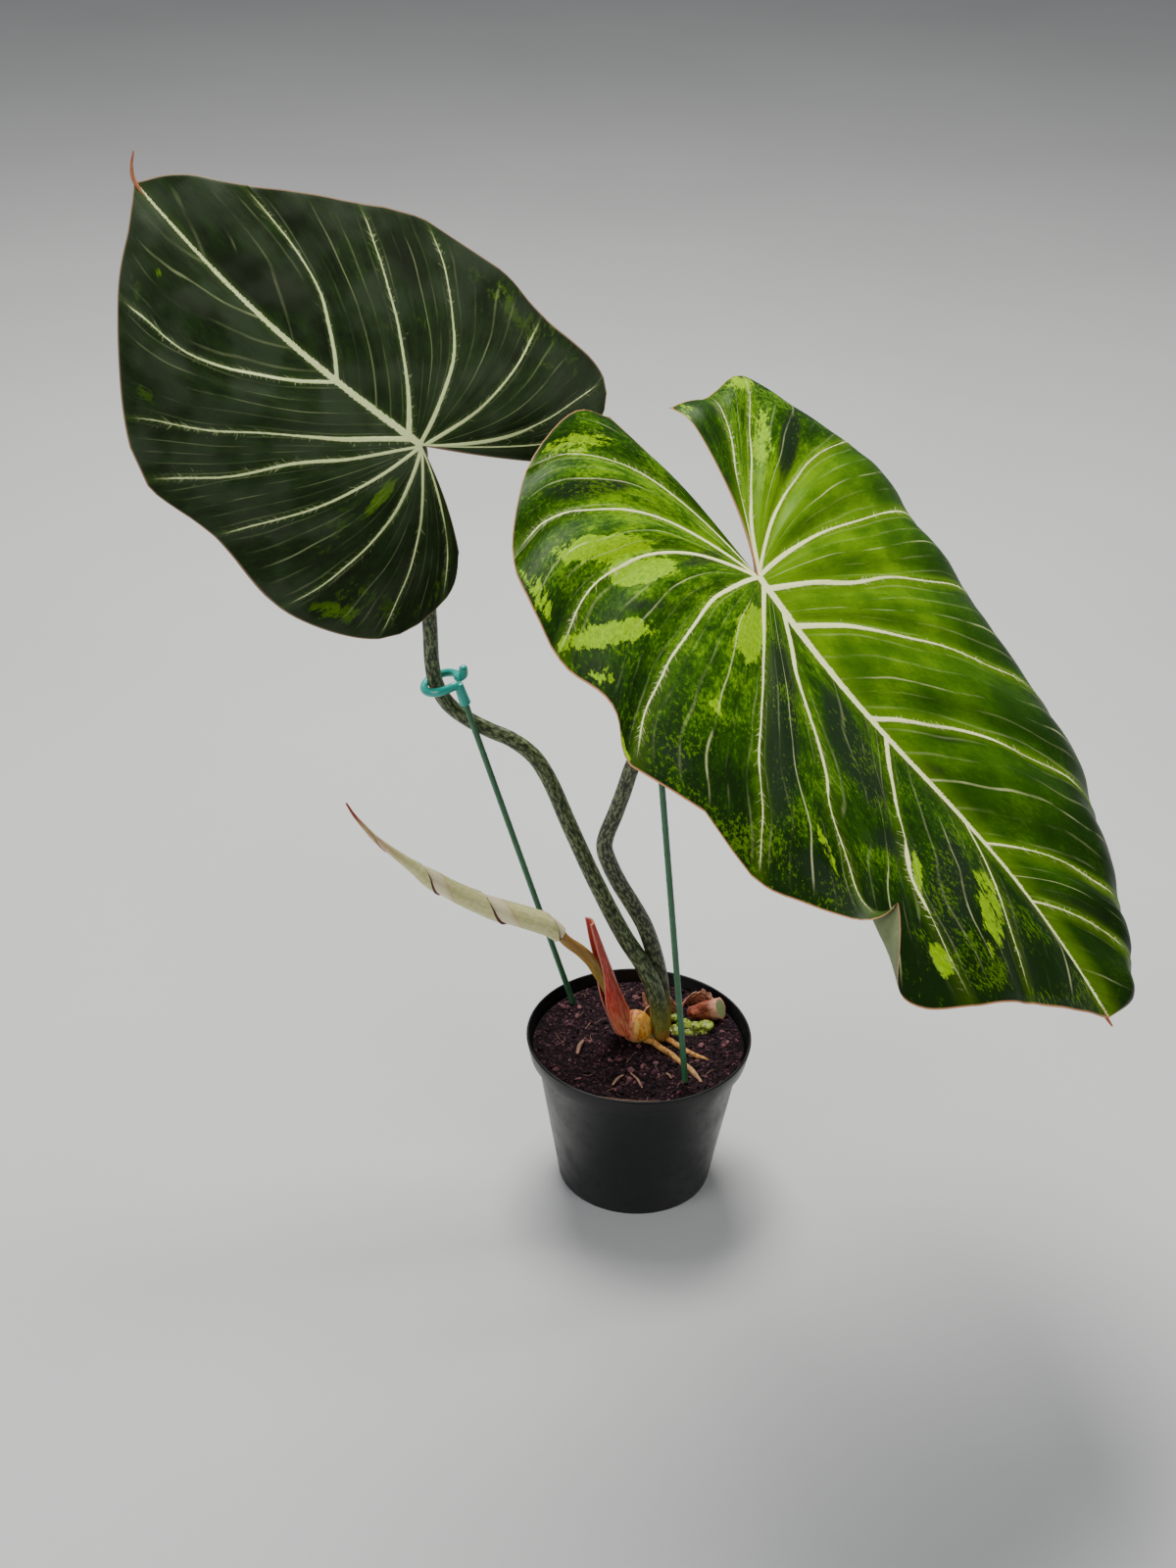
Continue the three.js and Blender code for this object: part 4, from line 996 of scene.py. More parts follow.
# %% Stalks and knees
NECK_LENGTH = 34.0
NECK_OVERLAP = 0.6
stalk_radii = {"rear": (6, 5.4, 5, 4.8, 4.6, 4.5, 4.4, 4.3), "front": (5.8, 5.3, 5, 5, 4.7, 4.5, 4.4, 4.3)}
neck_radius = through((4.3, 4.25, 4.1, 3.3, 1.6))
stalk_tones = {
    "rear": ((0.38, (0.01, 0.018, 0.006)), (0.5, (0.035, 0.055, 0.016)), (0.62, (0.1, 0.13, 0.045))),
    "front": ((0.38, (0.01, 0.013, 0.008)), (0.52, (0.032, 0.038, 0.02)), (0.64, (0.09, 0.095, 0.05))),
}


def ribbed(size, ribs=9, fine_ribs=23, depth=0.09):
    """A stalk's outline: lengthwise ribs, and one side a little flatter."""
    def radius(share, angle):
        wave = math.cos(ribs * angle + 2.0 * share) + 0.5 * math.cos(fine_ribs * angle + 1.0)
        flat = 1 - 0.035 * max(0.0, math.cos(angle - 0.6)) ** 2
        return size(share) * flat + depth * wave
    return radius


def stalk_finish(side):
    """Dappled green, going over into ochre and rust at the foot."""
    skin, tone, colour = streaked(
        f"{side}_stalk_skin", stalk_tones[side], 0.5, 5, 1.1, 0.45, 0.25, specular_ior_level=0.4)
    dapple = skin.grain(skin.place("flow", (1, 1, 0.42)), 0.62, 4, 0.65)
    height = skin.parts()[2]
    ochre = tone.ramp((0.35, (0.1, 0.07, 0.012)), (0.6, (0.3, 0.32, 0.05)))
    colour = skin.blend(dapple.ease(0.48, 0.59, 0, 0.8), colour, (0.2, 0.23, 0.11))
    colour = skin.blend(dapple.ease(0.4, 0.46, 0.8, 0), colour, (0.007, 0.01, 0.006))
    colour = skin.blend(height.ease(16, 48, 0.9, 0), colour, ochre)
    skin.colour(skin.blend(height.ease(12, 22, 0.8, 0), colour, (0.34, 0.13, 0.03)))
    return skin


for side, line in stalk_lines.items():
    skin = stalk_finish(side)
    neck_start = 1 - NECK_LENGTH / line.length
    bm = bmesh.new()
    bar(bm, line, ribbed(through(stalk_radii[side])), sides=40, steps=260, end=neck_start)
    make_piece(f"stalk_{side}", bm, [skin], (f"petiole_{side}",))
    bm = bmesh.new()
    knee_start = neck_start - NECK_OVERLAP / line.length
    bar(bm, line, ribbed(neck_radius, depth=0.07), sides=40, steps=48, start=knee_start)
    make_piece(f"knee_{side}", bm, [skin], (f"leaf_{side}",))

# %% [markdown]
# ## Drip tips
# Each blade ends in a drip tip, a thin point that sheds rain. The rear one is over a centimetre
# long, rusty, and hooks back up. It is a small bar that grows out of the end of the midrib.

# %% Drip tips
tip_paths = {
    # along, sideways, upwards on the blade, and the tip's radius at each of those points
    "front": ([(292, 0, -0.2), (297, 0.2, -0.2), (300, 0.2, -0.2), (303.5, 0.3, -0.2), (306.5, 0.8, 0)],
              (0.5, 1, 1, 0.9, 0.45)),
    "rear": ([(200, -0.6, 0), (206, -0.3, -0.1), (213, 1.5, 0.4), (218, 6, 2), (222, 12.3, 3.8)],
             (0.6, 1.1, 1.1, 0.8, 0.4)),
}
RUST_TONES = ((0.35, (0.2, 0.03, 0.012)), (0.65, (0.5, 0.16, 0.05)))
tip_red, _, rust = streaked("drip_tip_skin", RUST_TONES, 0.45, 6, 1.6)
tip_red.colour(tip_red.blend(tip_red.parts()[2].ease(1, 9, 0.8, 0), rust, (0.12, 0.14, 0.03)))
for side, blade in (("front", FRONT_BLADE), ("rear", REAR_BLADE)):
    path, radii = tip_paths[side]
    size = through(radii)
    bm = bmesh.new()
    line = SmoothLine(on_blade(blade, *np.array(path, float).T))
    bar(bm, line, lambda share, angle: size(share), sides=14, steps=40, cap=0.8)
    make_piece(f"drip_tip_{side}", bm, [tip_red], (f"leaf_{side}",))

# %% [markdown]
# ## The furled leaf
# The third leaf is still rolled up like an umbrella: the blade is wound round itself and its free
# margin runs down it as a long spiral step. The grid makes that directly, because a bar whose
# radius grows by one step per turn is exactly such a roll.

# %% The furled leaf
FURLED_TURNS = 3.7
FURLED_TONES = ((0.3, (0.42, 0.4, 0.14)), (0.5, (0.62, 0.59, 0.26)), (0.7, (0.82, 0.74, 0.42)))
furled_line = SmoothLine([
    (-50.3, -6.1, 181.9), (-57, -7, 188), (-70, -8, 194), (-86.5, -9, 200), (-102, -10, 207),
    (-117.5, -11, 216), (-133, -12, 227.5), (-147.5, -13, 240), (-158, -14, 250),
    (-165.5, -15, 259.5), (-172, -15, 268.5), (-176, -15, 276),
])
furled_size = through((5.2, 6.6, 7, 6.9, 6.3, 6, 5.7, 3.6, 2.6, 2, 1.2, 0.6))


def furled_radius(share, angle):
    wound = (angle / (2 * math.pi) - FURLED_TURNS * share + 0.75) % 1.0
    lip = 0.05 * math.exp(-((wound - 1) / 0.03) ** 2) - 0.05 * math.exp(-(wound / 0.05) ** 2)
    creases = 0.03 * math.sin(furled_line.length * share * 1.3 + 3 * math.sin(angle))
    return furled_size(share) * (0.94 + 0.12 * wound + lip) + creases


def furled_finish():
    """Cream, with pale ribs across, dark lines along the spiral lip, and a red tip."""
    skin, tone, cream = streaked(
        "furled_leaf_skin", FURLED_TONES, 0.5, 12, 0.5, 0.5, 0.2, sheen_weight=0.2)
    x, y, z = skin.parts()
    share = z / furled_line.length
    turned = skin.maths("ARCTAN2", y, x) / (2 * math.pi)
    wound = skin.maths("FRACT", share * -FURLED_TURNS + turned + 9.75)
    rib_waves = skin.maths("SINE", z * 1.45 + turned * 5.0)
    near_lip = skin.maths("MINIMUM", wound, 1.0 - wound)
    blush = share.ease(0.6, 0.86) * tone.ease(0.35, 0.62, 0.2, 0.9)
    cream = skin.blend(rib_waves.ease(0.5, 1.0, 0, 0.3), cream, (0.44, 0.5, 0.2))
    cream = skin.blend(wound.ease(0.2, 0.36, 0.7, 0), cream, (0.85, 0.72, 0.5))
    cream = skin.blend(abs(wound - 0.33).ease(0.004, 0.03, 0.6, 0), cream, (0.62, 0.3, 0.2))
    cream = skin.blend(near_lip.ease(0.01, 0.024, 1, 0), cream, (0.11, 0.015, 0.01))
    cream = skin.blend(blush, cream, (0.46, 0.22, 0.12))
    skin.colour(skin.blend(share.ease(0.87, 0.95), cream, (0.3, 0.035, 0.02)))
    return skin


bm = bmesh.new()
bar(bm, furled_line, furled_radius, sides=72, steps=300, cap=0.3)
make_piece("furled_leaf", bm, [furled_finish()], ("leaf_rolled",))

# %% The furled leaf's stalk
new_stalk_line = SmoothLine([
    (-7.5, 6, 105), (-10.8, 5.8, 113), (-14.8, 5.3, 123), (-20.5, 4.2, 137), (-26.3, 2.6, 148.5),
    (-31, 0.5, 158), (-37.5, -2, 167), (-46, -5, 176), (-50, -6, 181.5),
])
RUSTY_TONES = ((0.3, (0.2, 0.085, 0.018)), (0.5, (0.34, 0.18, 0.035)), (0.7, (0.5, 0.3, 0.07)))
skin, _, rusty = streaked("new_stalk_skin", RUSTY_TONES, 0.4, 14)
olive = skin.grain(skin.place(), 0.5).ramp((0.3, (0.15, 0.13, 0.02)), (0.7, (0.34, 0.3, 0.06)))
skin.colour(skin.blend(skin.parts()[2].ease(20, 74, 0.8, 0), rusty, olive))
bm = bmesh.new()
bar(bm, new_stalk_line, ribbed(through((4.2, 4.2, 4, 3.8, 3.3)), depth=0.05), sides=32, steps=90)
make_piece("new_stalk", bm, [skin], ("petiole_new",))

# %% [markdown]
# ## The creeping stem and its bud
# Philodendron gloriosum creeps: its stem lies half buried, ringed with old leaf scars, and ends
# in a fat round bud. The stem is a bar whose radius swells between the scars. The bud is a sphere
# that is pushed into shape: drawn up to a blunt point, with a crease where the next leaf sits.

# %% The creeping stem
SCARS = 8.0
LIME_TONES = ((0.36, (0.06, 0.055, 0.01)), (0.5, (0.2, 0.27, 0.02)), (0.62, (0.42, 0.55, 0.07)))
stem_line = SmoothLine([
    (52, 17, 90), (43, 16, 93), (30, 15, 93.5), (17, 12.5, 93), (6, 9.5, 96), (-1, 7, 101),
])
stem_size = through((5.2, 6.4, 6.8, 7, 7, 6))


def noise_round(angle, size, height):
    """Noise that closes round a bar: size is how often it changes on the way round."""
    return noise.noise(Vector((size * math.cos(angle), size * math.sin(angle), height)))


def stem_radius(share, angle):
    scar = (share * SCARS) % 1.0
    ring = 0.3 * math.sin(40 * share) - 0.4 * math.exp(-((scar - 0.5) / 0.06) ** 2)
    return stem_size(share) + ring + 0.5 * noise_round(angle, 3, 14 * share)


stem_skin, _, lime = streaked("stem_skin", LIME_TONES, 0.42, 3, 0.6, 0.6, 0.3)
scars = abs(stem_skin.maths("SINE", stem_skin.parts()[2] * 0.52))
stem_skin.colour(stem_skin.blend(scars.ease(0.06, 0.3, 0.8, 0), lime, (0.16, 0.07, 0.025)))
bm = bmesh.new()
bar(bm, stem_line, stem_radius, sides=48, steps=120)
make_piece("creeping_stem", bm, [stem_skin], ("rhizome",))

# %% The bud
BUD_CENTRE = Vector((-1.6, 6, 105.5))
BUD_SIZE = Vector((10, 8.5, 11.5))
BUD_LEAN = -0.22  # radians
bud_skin = Finish("bud_skin", roughness=0.45, specular_ior_level=0.4)
x, _, z = bud_skin.parts()
mottle = bud_skin.grain(bud_skin.place("flow", (1, 1, 0.4)), 0.35, 4, 0.6)
amber = mottle.ramp((0.36, (0.5, 0.14, 0.015)), (0.5, (0.82, 0.34, 0.035)), (0.64, (0.95, 0.6, 0.14)))
pink = mottle.ramp((0.4, (0.36, 0.05, 0.03)), (0.6, (0.7, 0.26, 0.14)))
amber = bud_skin.blend((mottle * 9.0 + x).ease(0, 9, 0.95, 0), amber, pink)
bud_skin.colour(bud_skin.blend(z.ease(-8, -4, 0.8, 0), amber, (0.3, 0.32, 0.06)))
bud_skin.bump(mottle, 0.2, 0.6)
bm = bmesh.new()
flow = bm.verts.layers.float_vector.new("flow")
bmesh.ops.create_uvsphere(bm, u_segments=64, v_segments=40, radius=1)
for vert in bm.verts:
    unit = vert.co.normalized()
    crease = 0.05 * math.exp(-((math.atan2(unit.y, unit.x) + 1.9) / 0.1) ** 2) * max(0, unit.z + 0.4)
    swell = 1 + 0.02 * noise.noise(unit * 2.3) - crease
    vert.co = (Matrix.Rotation(BUD_LEAN, 3, "Y") @ (unit * BUD_SIZE * swell) + BUD_CENTRE) * MM
    vert[flow] = unit * 10
make_piece("bud", bm, [bud_skin], ("rhizome",))

# %% [markdown]
# ## Sheaths and scales
# Every leaf of the plant first came wrapped in a sheath. The newest one still stands, crimson and
# fleshy; the older ones have dried to paper round the feet of the stalks. All are open gutters
# round a centre line: a flat grid is bent round it by an angle that narrows towards the top, then
# solidified. The paper ones get a torn upper edge and crumples, and the fleshy one stays smooth.

# %% Sheaths in numbers
sheath_plans = {
    "red_sheath": {
        "node": "cataphyll", "slot": "cataphyll", "facing": 205, "tear": 0.0, "wall": 0.9,
        "line": [(-8, 6, 103), (-12.8, 6, 115), (-19.5, 5.7, 133), (-24.8, 5.3, 150), (-30, 5, 167),
                 (-34.6, 5, 184)],
        "radius": (7.4, 7.1, 6.6, 6.1, 5.5, 4.2), "span": (336, 320, 262, 205, 180, 155),
    },
    "foot_sheath": {
        "node": "base_sheath", "slot": "dry_sheath", "facing": 268, "tear": 0.9, "wall": 0.4,
        "line": [(14.5, 14.5, 92), (14.5, 15, 106), (15.5, 16, 116)],
        "radius": (13.4, 13.6, 14.2), "span": (300, 160, 40),
    },
    "paper_sheath": {
        "node": "dry_sheath", "slot": "dry_sheath", "facing": 250, "tear": 0.7, "wall": 0.4,
        "line": [(37, 33, 92), (37, 33, 101), (38, 34, 108)],
        "radius": (10, 10.6, 11.4), "span": (190, 170, 70),
    },
    "paper_scale": {
        "node": "dry_scale", "slot": "dry_sheath", "facing": 200, "tear": 0.6, "wall": 0.4,
        "line": [(3, 33, 92), (2.6, 33, 102), (1.2, 34, 112)],
        "radius": (3.4, 3.2, 1.2), "span": (150, 140, 100),
    },
}
print("sheaths:", ", ".join(sheath_plans))

# %% Their finishes
CRIMSON_TONES = ((0.36, (0.34, 0.018, 0.012)), (0.5, (0.56, 0.05, 0.03)), (0.64, (0.72, 0.16, 0.1)))
PAPER_TONES = ((0.38, (0.09, 0.03, 0.018)), (0.52, (0.32, 0.13, 0.07)), (0.66, (0.6, 0.32, 0.2)))
red_skin, tone, crimson = streaked("red_sheath_skin", CRIMSON_TONES, 0.4, 12, 0.8)
_, edge, z = red_skin.parts()
orange = tone.ramp((0.38, (0.42, 0.05, 0.025)), (0.5, (0.62, 0.16, 0.07)), (0.62, (0.76, 0.4, 0.2)))
crimson = red_skin.blend(z.ease(6, 34, 0.85, 0), crimson, orange)
red_skin.colour(red_skin.blend(edge.ease(0.3, 1.1, 0.85, 0), crimson, (0.7, 0.25, 0.2)))
paper_skin, _, tan = streaked("dry_paper_skin", PAPER_TONES, 0.7, 9, 1.0, 0.4, 0.35)
_, edge, _ = paper_skin.parts()
pink = paper_skin.grain(paper_skin.place("flow", (1, 1, 0.3)), 0.22, 3).ease(0.5, 0.62, 0, 0.7)
tan = paper_skin.blend(pink, tan, (0.55, 0.22, 0.14))
paper_skin.colour(paper_skin.blend(edge.ease(0.6, 2.6, 0.85, 0), tan, (0.66, 0.35, 0.23)))
print("crimson skin and dry paper mixed")


# %% Their sheets
def sheath_sheet(bm, plan, across=72, along=80):
    flow = bm.verts.layers.float_vector.new("flow")
    line = SmoothLine(plan["line"])
    size, span = through(plan["radius"]), through(plan["span"])
    facing, tear = plan["facing"], plan["tear"]
    for vert, u, v in grid_of(bm, across, along):
        turn = math.radians(facing + 180 + (u - 0.5) * span(v))
        crumple = noise.noise(Vector((9 * u, 7 * v, facing)))
        folds = noise.noise(Vector((26 * u, 5 * v, facing + 5)))
        reach = size(v) + tear * (1.3 * crumple + 0.4 * folds)
        middle, _, _, ahead = line.at(v)
        coarse = noise.noise(Vector((11 * u, 3.3, facing)))
        ragged = coarse + 0.7 * noise.noise(Vector((37 * u, 1.7, facing))) - 0.5
        fallen = 4.5 * max(0.0, -ragged) * v ** 4 + 9 * abs(2 * u - 1) ** 3 * v ** 2
        place = Vector(middle) + Vector((reach * math.cos(turn), reach * math.sin(turn), 0))
        vert.co = (place - Vector(ahead) * tear * fallen) * MM
        arc = reach * math.radians(span(v))
        edge = min((0.5 - abs(u - 0.5)) * arc, (1 - v) * line.length)
        vert[flow] = ((u - 0.5) * arc, edge, v * line.length)


for name, plan in sheath_plans.items():
    bm = bmesh.new()
    sheath_sheet(bm, plan)
    skin = paper_skin if plan["tear"] else red_skin
    piece = make_piece(name, bm, [skin], (plan["node"],))
    wall = piece.modifiers.new("wall", "SOLIDIFY")
    wall.thickness = plan["wall"] * MM
    wall.offset = 0

# %% [markdown]
# ## The cut stalk
# One old leaf was cut off, and its stump leans out of the stem with the cut facing up. It is a
# short bar whose end is flat, with a rind round the pith.

# %% The cut stalk
CUT_DEPTH = 0.3
STUMP_TONES = ((0.38, (0.05, 0.008, 0.006)), (0.5, (0.22, 0.035, 0.012)), (0.64, (0.5, 0.14, 0.05)))
stump_line = SmoothLine([(33.5, 33, 95), (42.5, 31, 100.5), (51.5, 27.5, 105.3)])
stump_skin, _, brown = streaked("stump_skin", STUMP_TONES, 0.6, 5, 0.7, 0.5, 0.8)
stump_skin.colour(stump_skin.blend(stump_skin.parts()[2].ease(15, 20, 0, 0.8), brown, (0.6, 0.3, 0.2)))
cut_face = Finish("cut_face", roughness=0.55)
x, y, _ = cut_face.parts()
off_middle = cut_face.maths("SQRT", x * x + y * y)
pith = cut_face.grain(cut_face.place("flow", (1, 1, 0)), 1.6, 4, 0.7)
flesh = pith.ramp((0.38, (0.08, 0.12, 0.03)), (0.5, (0.24, 0.3, 0.1)), (0.64, (0.48, 0.52, 0.26)))
cut_face.colour(cut_face.blend((pith * 2.0 + off_middle).ease(6.2, 7.0), flesh, (0.62, 0.3, 0.2)))
cut_face.bump(pith, 0.3, 0.8)


def stump_radius(share, angle):
    lumps = 0.9 * noise_round(angle, 1.8, 4 * share) + 0.25 * noise_round(angle, 6, 14 * share)
    return 5.6 + 1.3 * share + lumps


bm = bmesh.new()
bar(bm, stump_line, stump_radius, sides=48, steps=40, cap=0.02)
stump = make_piece("cut_stalk", bm, [stump_skin, cut_face], ("petiole_stub",))
lean = Vector(stump_line.ahead[-1])
top = Vector(stump_line.points[-1]) * MM
for face in stump.data.polygons:
    if (face.center - top).dot(lean) > -CUT_DEPTH * MM:
        face.material_index = 1

# %% [markdown]
# ## Surface roots
# Two roots leave the stem over the surface of the mix and dive into it.

# %% Surface roots
root_plans = {
    "root_front": ([(3, 3, 97), (8, 0, 99), (13, -6, 99), (20, -13, 99), (25.5, -20, 98.5), (31.5, -26, 98),
                    (35.5, -33.5, 97.5), (39, -38.5, 95), (40, -40, 91)], (2.2, 1.9, 1.7, 1.6, 1.1)),
    "root_side": ([(18, 6, 96), (20, 1.5, 98.5), (24, -3.5, 99), (30, -9.5, 99), (37, -13.5, 98),
                   (43, -14.8, 96), (45.5, -15, 91)], (1.8, 1.7, 1.5, 1.3, 0.9)),
}
ROOT_TONES = ((0.36, (0.2, 0.06, 0.01)), (0.5, (0.52, 0.23, 0.04)), (0.66, (0.78, 0.48, 0.15)))
root_skin, _, ochre = streaked("root_skin", ROOT_TONES, 0.65, 2.5, 0.9, 0.5, 0.3)
soiled = root_skin.grain(root_skin.place("flow", (1, 1, 0.5)), 0.5, 4, 0.7).ease(0.5, 0.64, 0, 0.75)
ochre = root_skin.blend(root_skin.parts()[2].ease(26, 60, 0, 0.8), ochre, (0.36, 0.22, 0.13))
root_skin.colour(root_skin.blend(soiled, ochre, (0.06, 0.03, 0.02)))


def root_radius(size):
    return lambda share, angle: size(share) + 0.15 * noise.noise(Vector((angle, 22 * share, 1)))


for name, (path, radii) in root_plans.items():
    bm = bmesh.new()
    bar(bm, SmoothLine(path), root_radius(through(radii)), sides=24, steps=110)
    make_piece(f"surface_{name}", bm, [root_skin], (name,))

# %% [markdown]
# ## The nursery pot
# A thermoformed pot is one thin wall, turned round its axis: a foot with a raised ring and drain
# holes in it, a tapering wall, a shoulder and a collar that ends in a rim. The wall's outline is
# spun once round, its edges are bevelled, and the drain holes are cut with a boolean.

# %% The pot's plastic
pot_plastic = Finish("pot_plastic", roughness=0.4, specular_ior_level=0.3)
where = pot_plastic.object_place()
cloudy = pot_plastic.grain(where, 0.05, 4, 0.6)
dust = pot_plastic.grain(where, 0.6, 5, 0.7).ease(0.52, 0.7) * cloudy.ease(0.4, 0.65, 0.1, 0.5)
black = cloudy.ramp((0.3, (0.003, 0.003, 0.0035)), (0.7, (0.006, 0.006, 0.0065)))
pot_plastic.colour(pot_plastic.blend(dust, black, (0.026, 0.022, 0.021)))
pot_plastic.roughness((cloudy + dust).ease(0.3, 1.1, 0.3, 0.62))
pot_plastic.bump(pot_plastic.grain(where, 2.2, 2), 0.03, 0.5)
print("dusty black plastic mixed")

# %% The pot
DRAIN_HOLES = 8
DRAIN_RADIUS = 4.0
DRAIN_CIRCLE = 37.25
pot_outline = [
    # out and up: the outside, then the rim, then the inside
    (0, 0), (30, 0), (31.5, 2.5), (43, 2.5), (44.5, 0), (48, 0), (63.6, 92.5), (67.8, 93.3),
    (70, 104), (69.5, 105), (68.6, 105), (68.2, 104),
    (66.4, 94.7), (62.2, 93.9), (46.6, 1.4), (44.9, 1.4), (43.3, 3.9), (31.2, 3.9), (29.6, 1.4), (0, 1.4),
]


def spun(bm, outline, steps=128, bevel=0.0):
    """Spins an outline of (radius, height) pairs round the upright axis into a closed shell."""
    verts = [bm.verts.new(Vector((r, 0, z)) * MM) for r, z in outline]
    edges = [bm.edges.new(pair) for pair in zip(verts, verts[1:])]
    bmesh.ops.spin(bm, geom=verts + edges, cent=(0, 0, 0), axis=(0, 0, 1), angle=2 * math.pi,
                   steps=steps, use_merge=True)
    bmesh.ops.remove_doubles(bm, verts=bm.verts[:], dist=1e-6)
    bmesh.ops.recalc_face_normals(bm, faces=bm.faces[:])
    if bevel:
        sharp = [e for e in bm.edges if len(e.link_faces) == 2 and e.calc_face_angle(0) > 0.35]
        bmesh.ops.bevel(bm, geom=sharp, offset=bevel * MM, affect="EDGES", segments=2, profile=0.5,
                        material=-1)


def drilled(piece, bm):
    """Cuts the solids in bm out of a piece."""
    data = bpy.data.meshes.new("drain_drills")
    bm.to_mesh(data)
    bm.free()
    drills = bpy.data.objects.new("drain_drills", data)
    bpy.context.scene.collection.objects.link(drills)
    cut = piece.modifiers.new("drain_holes", "BOOLEAN")
    cut.object = drills
    cut.operation = "DIFFERENCE"
    cut.solver = "EXACT"
    whole = piece.evaluated_get(bpy.context.evaluated_depsgraph_get())
    cut_mesh = bpy.data.meshes.new_from_object(whole)
    piece.modifiers.clear()
    piece.data = cut_mesh
    bpy.data.objects.remove(drills)


bm = bmesh.new()
spun(bm, pot_outline, bevel=0.22)
pot = make_piece("nursery_pot", bm, [pot_plastic], ("pot",))
bm = bmesh.new()
for i in range(DRAIN_HOLES):
    turn = (i + 0.5) / DRAIN_HOLES * 2 * math.pi
    spot = Vector((DRAIN_CIRCLE * math.cos(turn), DRAIN_CIRCLE * math.sin(turn), 2.5)) * MM
    bmesh.ops.create_cone(bm, cap_ends=True, segments=32, radius1=DRAIN_RADIUS * MM,
                          radius2=DRAIN_RADIUS * MM, depth=12 * MM, matrix=Matrix.Translation(spot))
drilled(pot, bm)
print("pot with", DRAIN_HOLES, "drain holes,", len(pot.data.polygons), "faces after drilling")

# %% [markdown]
# ## The potting mix
# The mix is dark bark, coir and a little perlite dust. Its surface is a spun disc, pushed about
# by noise at three sizes, and crumbs, chips and fibres lie on it as small solids of their own,
# each with only a few faces, because there are well over a thousand. Nothing is scattered by a
# particle system: the draw is seeded, so the pot is filled the same way every time.

# %% The potting mix
SOIL_LEVEL = 97.0
SOIL_RADIUS = 65.6
SOIL_RINGS = 88
SPECK = (0.007, 0.003, 0.005)
soil_outline = [(0, 4.2), (44.8, 4.2), (61.4, 93.9), (SOIL_RADIUS, 95.5)]
soil_outline += [(SOIL_RADIUS * i / SOIL_RINGS, SOIL_LEVEL) for i in range(SOIL_RINGS, -1, -1)]


def soil_height(x, y):
    coarse = noise.noise(Vector((x / 11, y / 11, 0.3)))
    lumps = coarse + 0.9 * noise.noise(Vector((x / 4.2, y / 4.2, 5.1)))
    grains = 0.55 * abs(noise.noise(Vector((x / 1.7, y / 1.7, 9.2))))
    return SOIL_LEVEL + 0.2 + 0.75 * lumps + grains


soil_skin = Finish("potting_mix", roughness=0.9, specular_ior_level=0.15)
where = soil_skin.object_place()
cells = soil_skin.node("TexVoronoi", {"Vector": where, "Scale": 0.62}, out=1)
grit = soil_skin.grain(where, 0.9, 6, 0.75)
dirt = soil_skin.node("SeparateColor", {0: cells}).ramp(
    (0.1, (0.004, 0.002, 0.003)), (0.5, (0.014, 0.005, 0.008)), (0.78, (0.04, 0.014, 0.022)),
    (0.97, (0.1, 0.045, 0.05)))
soil_skin.colour(soil_skin.blend(grit.ease(0.4, 0.6), dirt, SPECK))
soil_skin.bump(grit, 1.0, 0.9)
bm = bmesh.new()
spun(bm, soil_outline, steps=240)
for vert in bm.verts:
    if vert.co.z > (SOIL_LEVEL - 0.5) * MM:
        x, y = vert.co.x / MM, vert.co.y / MM
        from_wall = (SOIL_RADIUS + 0.1 - math.hypot(x, y)) / 2
        rise = (soil_height(x, y) - SOIL_LEVEL) * min(1.0, max(0.0, from_wall))
        vert.co.z = (SOIL_LEVEL + rise) * MM
make_piece("potting_mix", bm, [soil_skin], ("soil",))

# %% Crumbs and chips on the mix
CRUMBS = 2300
draw = random.Random(7)
crumb_skin = Finish("bark_crumbs", roughness=0.8, specular_ior_level=0.2)
tint = crumb_skin.parts()[0]
pores = crumb_skin.grain(crumb_skin.object_place(), 1.7, 4, 0.7)
bark = tint.ramp((0.0, (0.005, 0.002, 0.003)), (0.4, (0.024, 0.008, 0.013)), (0.75, (0.065, 0.02, 0.033)),
                 (1.0, (0.2, 0.08, 0.09)))
crumb_skin.colour(crumb_skin.blend(pores.ease(0.45, 0.6, 0, 0.6), bark, SPECK))
crumb_skin.bump(pores, 0.3, 0.8)
bm = bmesh.new()
flow = bm.verts.layers.float_vector.new("flow")
for _ in range(CRUMBS):
    reach, turn = 64.3 * math.sqrt(draw.random()), draw.uniform(0, 2 * math.pi)
    x, y = reach * math.cos(turn), reach * math.sin(turn)
    size = draw.uniform(0.45, 1.05) if draw.random() < 0.9 else draw.uniform(1.1, 2.3)
    at = Matrix.Translation(Vector((x, y, soil_height(x, y) + 0.25 * size)) * MM)
    spin = Matrix.Rotation(draw.uniform(0, 6.28), 4, "Z") @ Matrix.Rotation(draw.uniform(-0.7, 0.7), 4, "X")
    squash = Matrix.Diagonal((draw.uniform(0.8, 1.7), draw.uniform(0.6, 1.1), draw.uniform(0.4, 0.9), 1))
    made = bmesh.ops.create_icosphere(bm, subdivisions=0, radius=size * MM, matrix=at @ spin @ squash)
    tone = min(1.0, draw.random() ** 1.6 * (1.25 if size > 1.1 else 1.0))
    for vert in made["verts"]:
        vert.co += Vector([draw.uniform(-0.16, 0.16) for _ in range(3)]) * size * MM
        vert[flow] = (tone, 0, 0)
make_piece("bark_crumbs", bm, [crumb_skin], ("soil",), smooth=False)

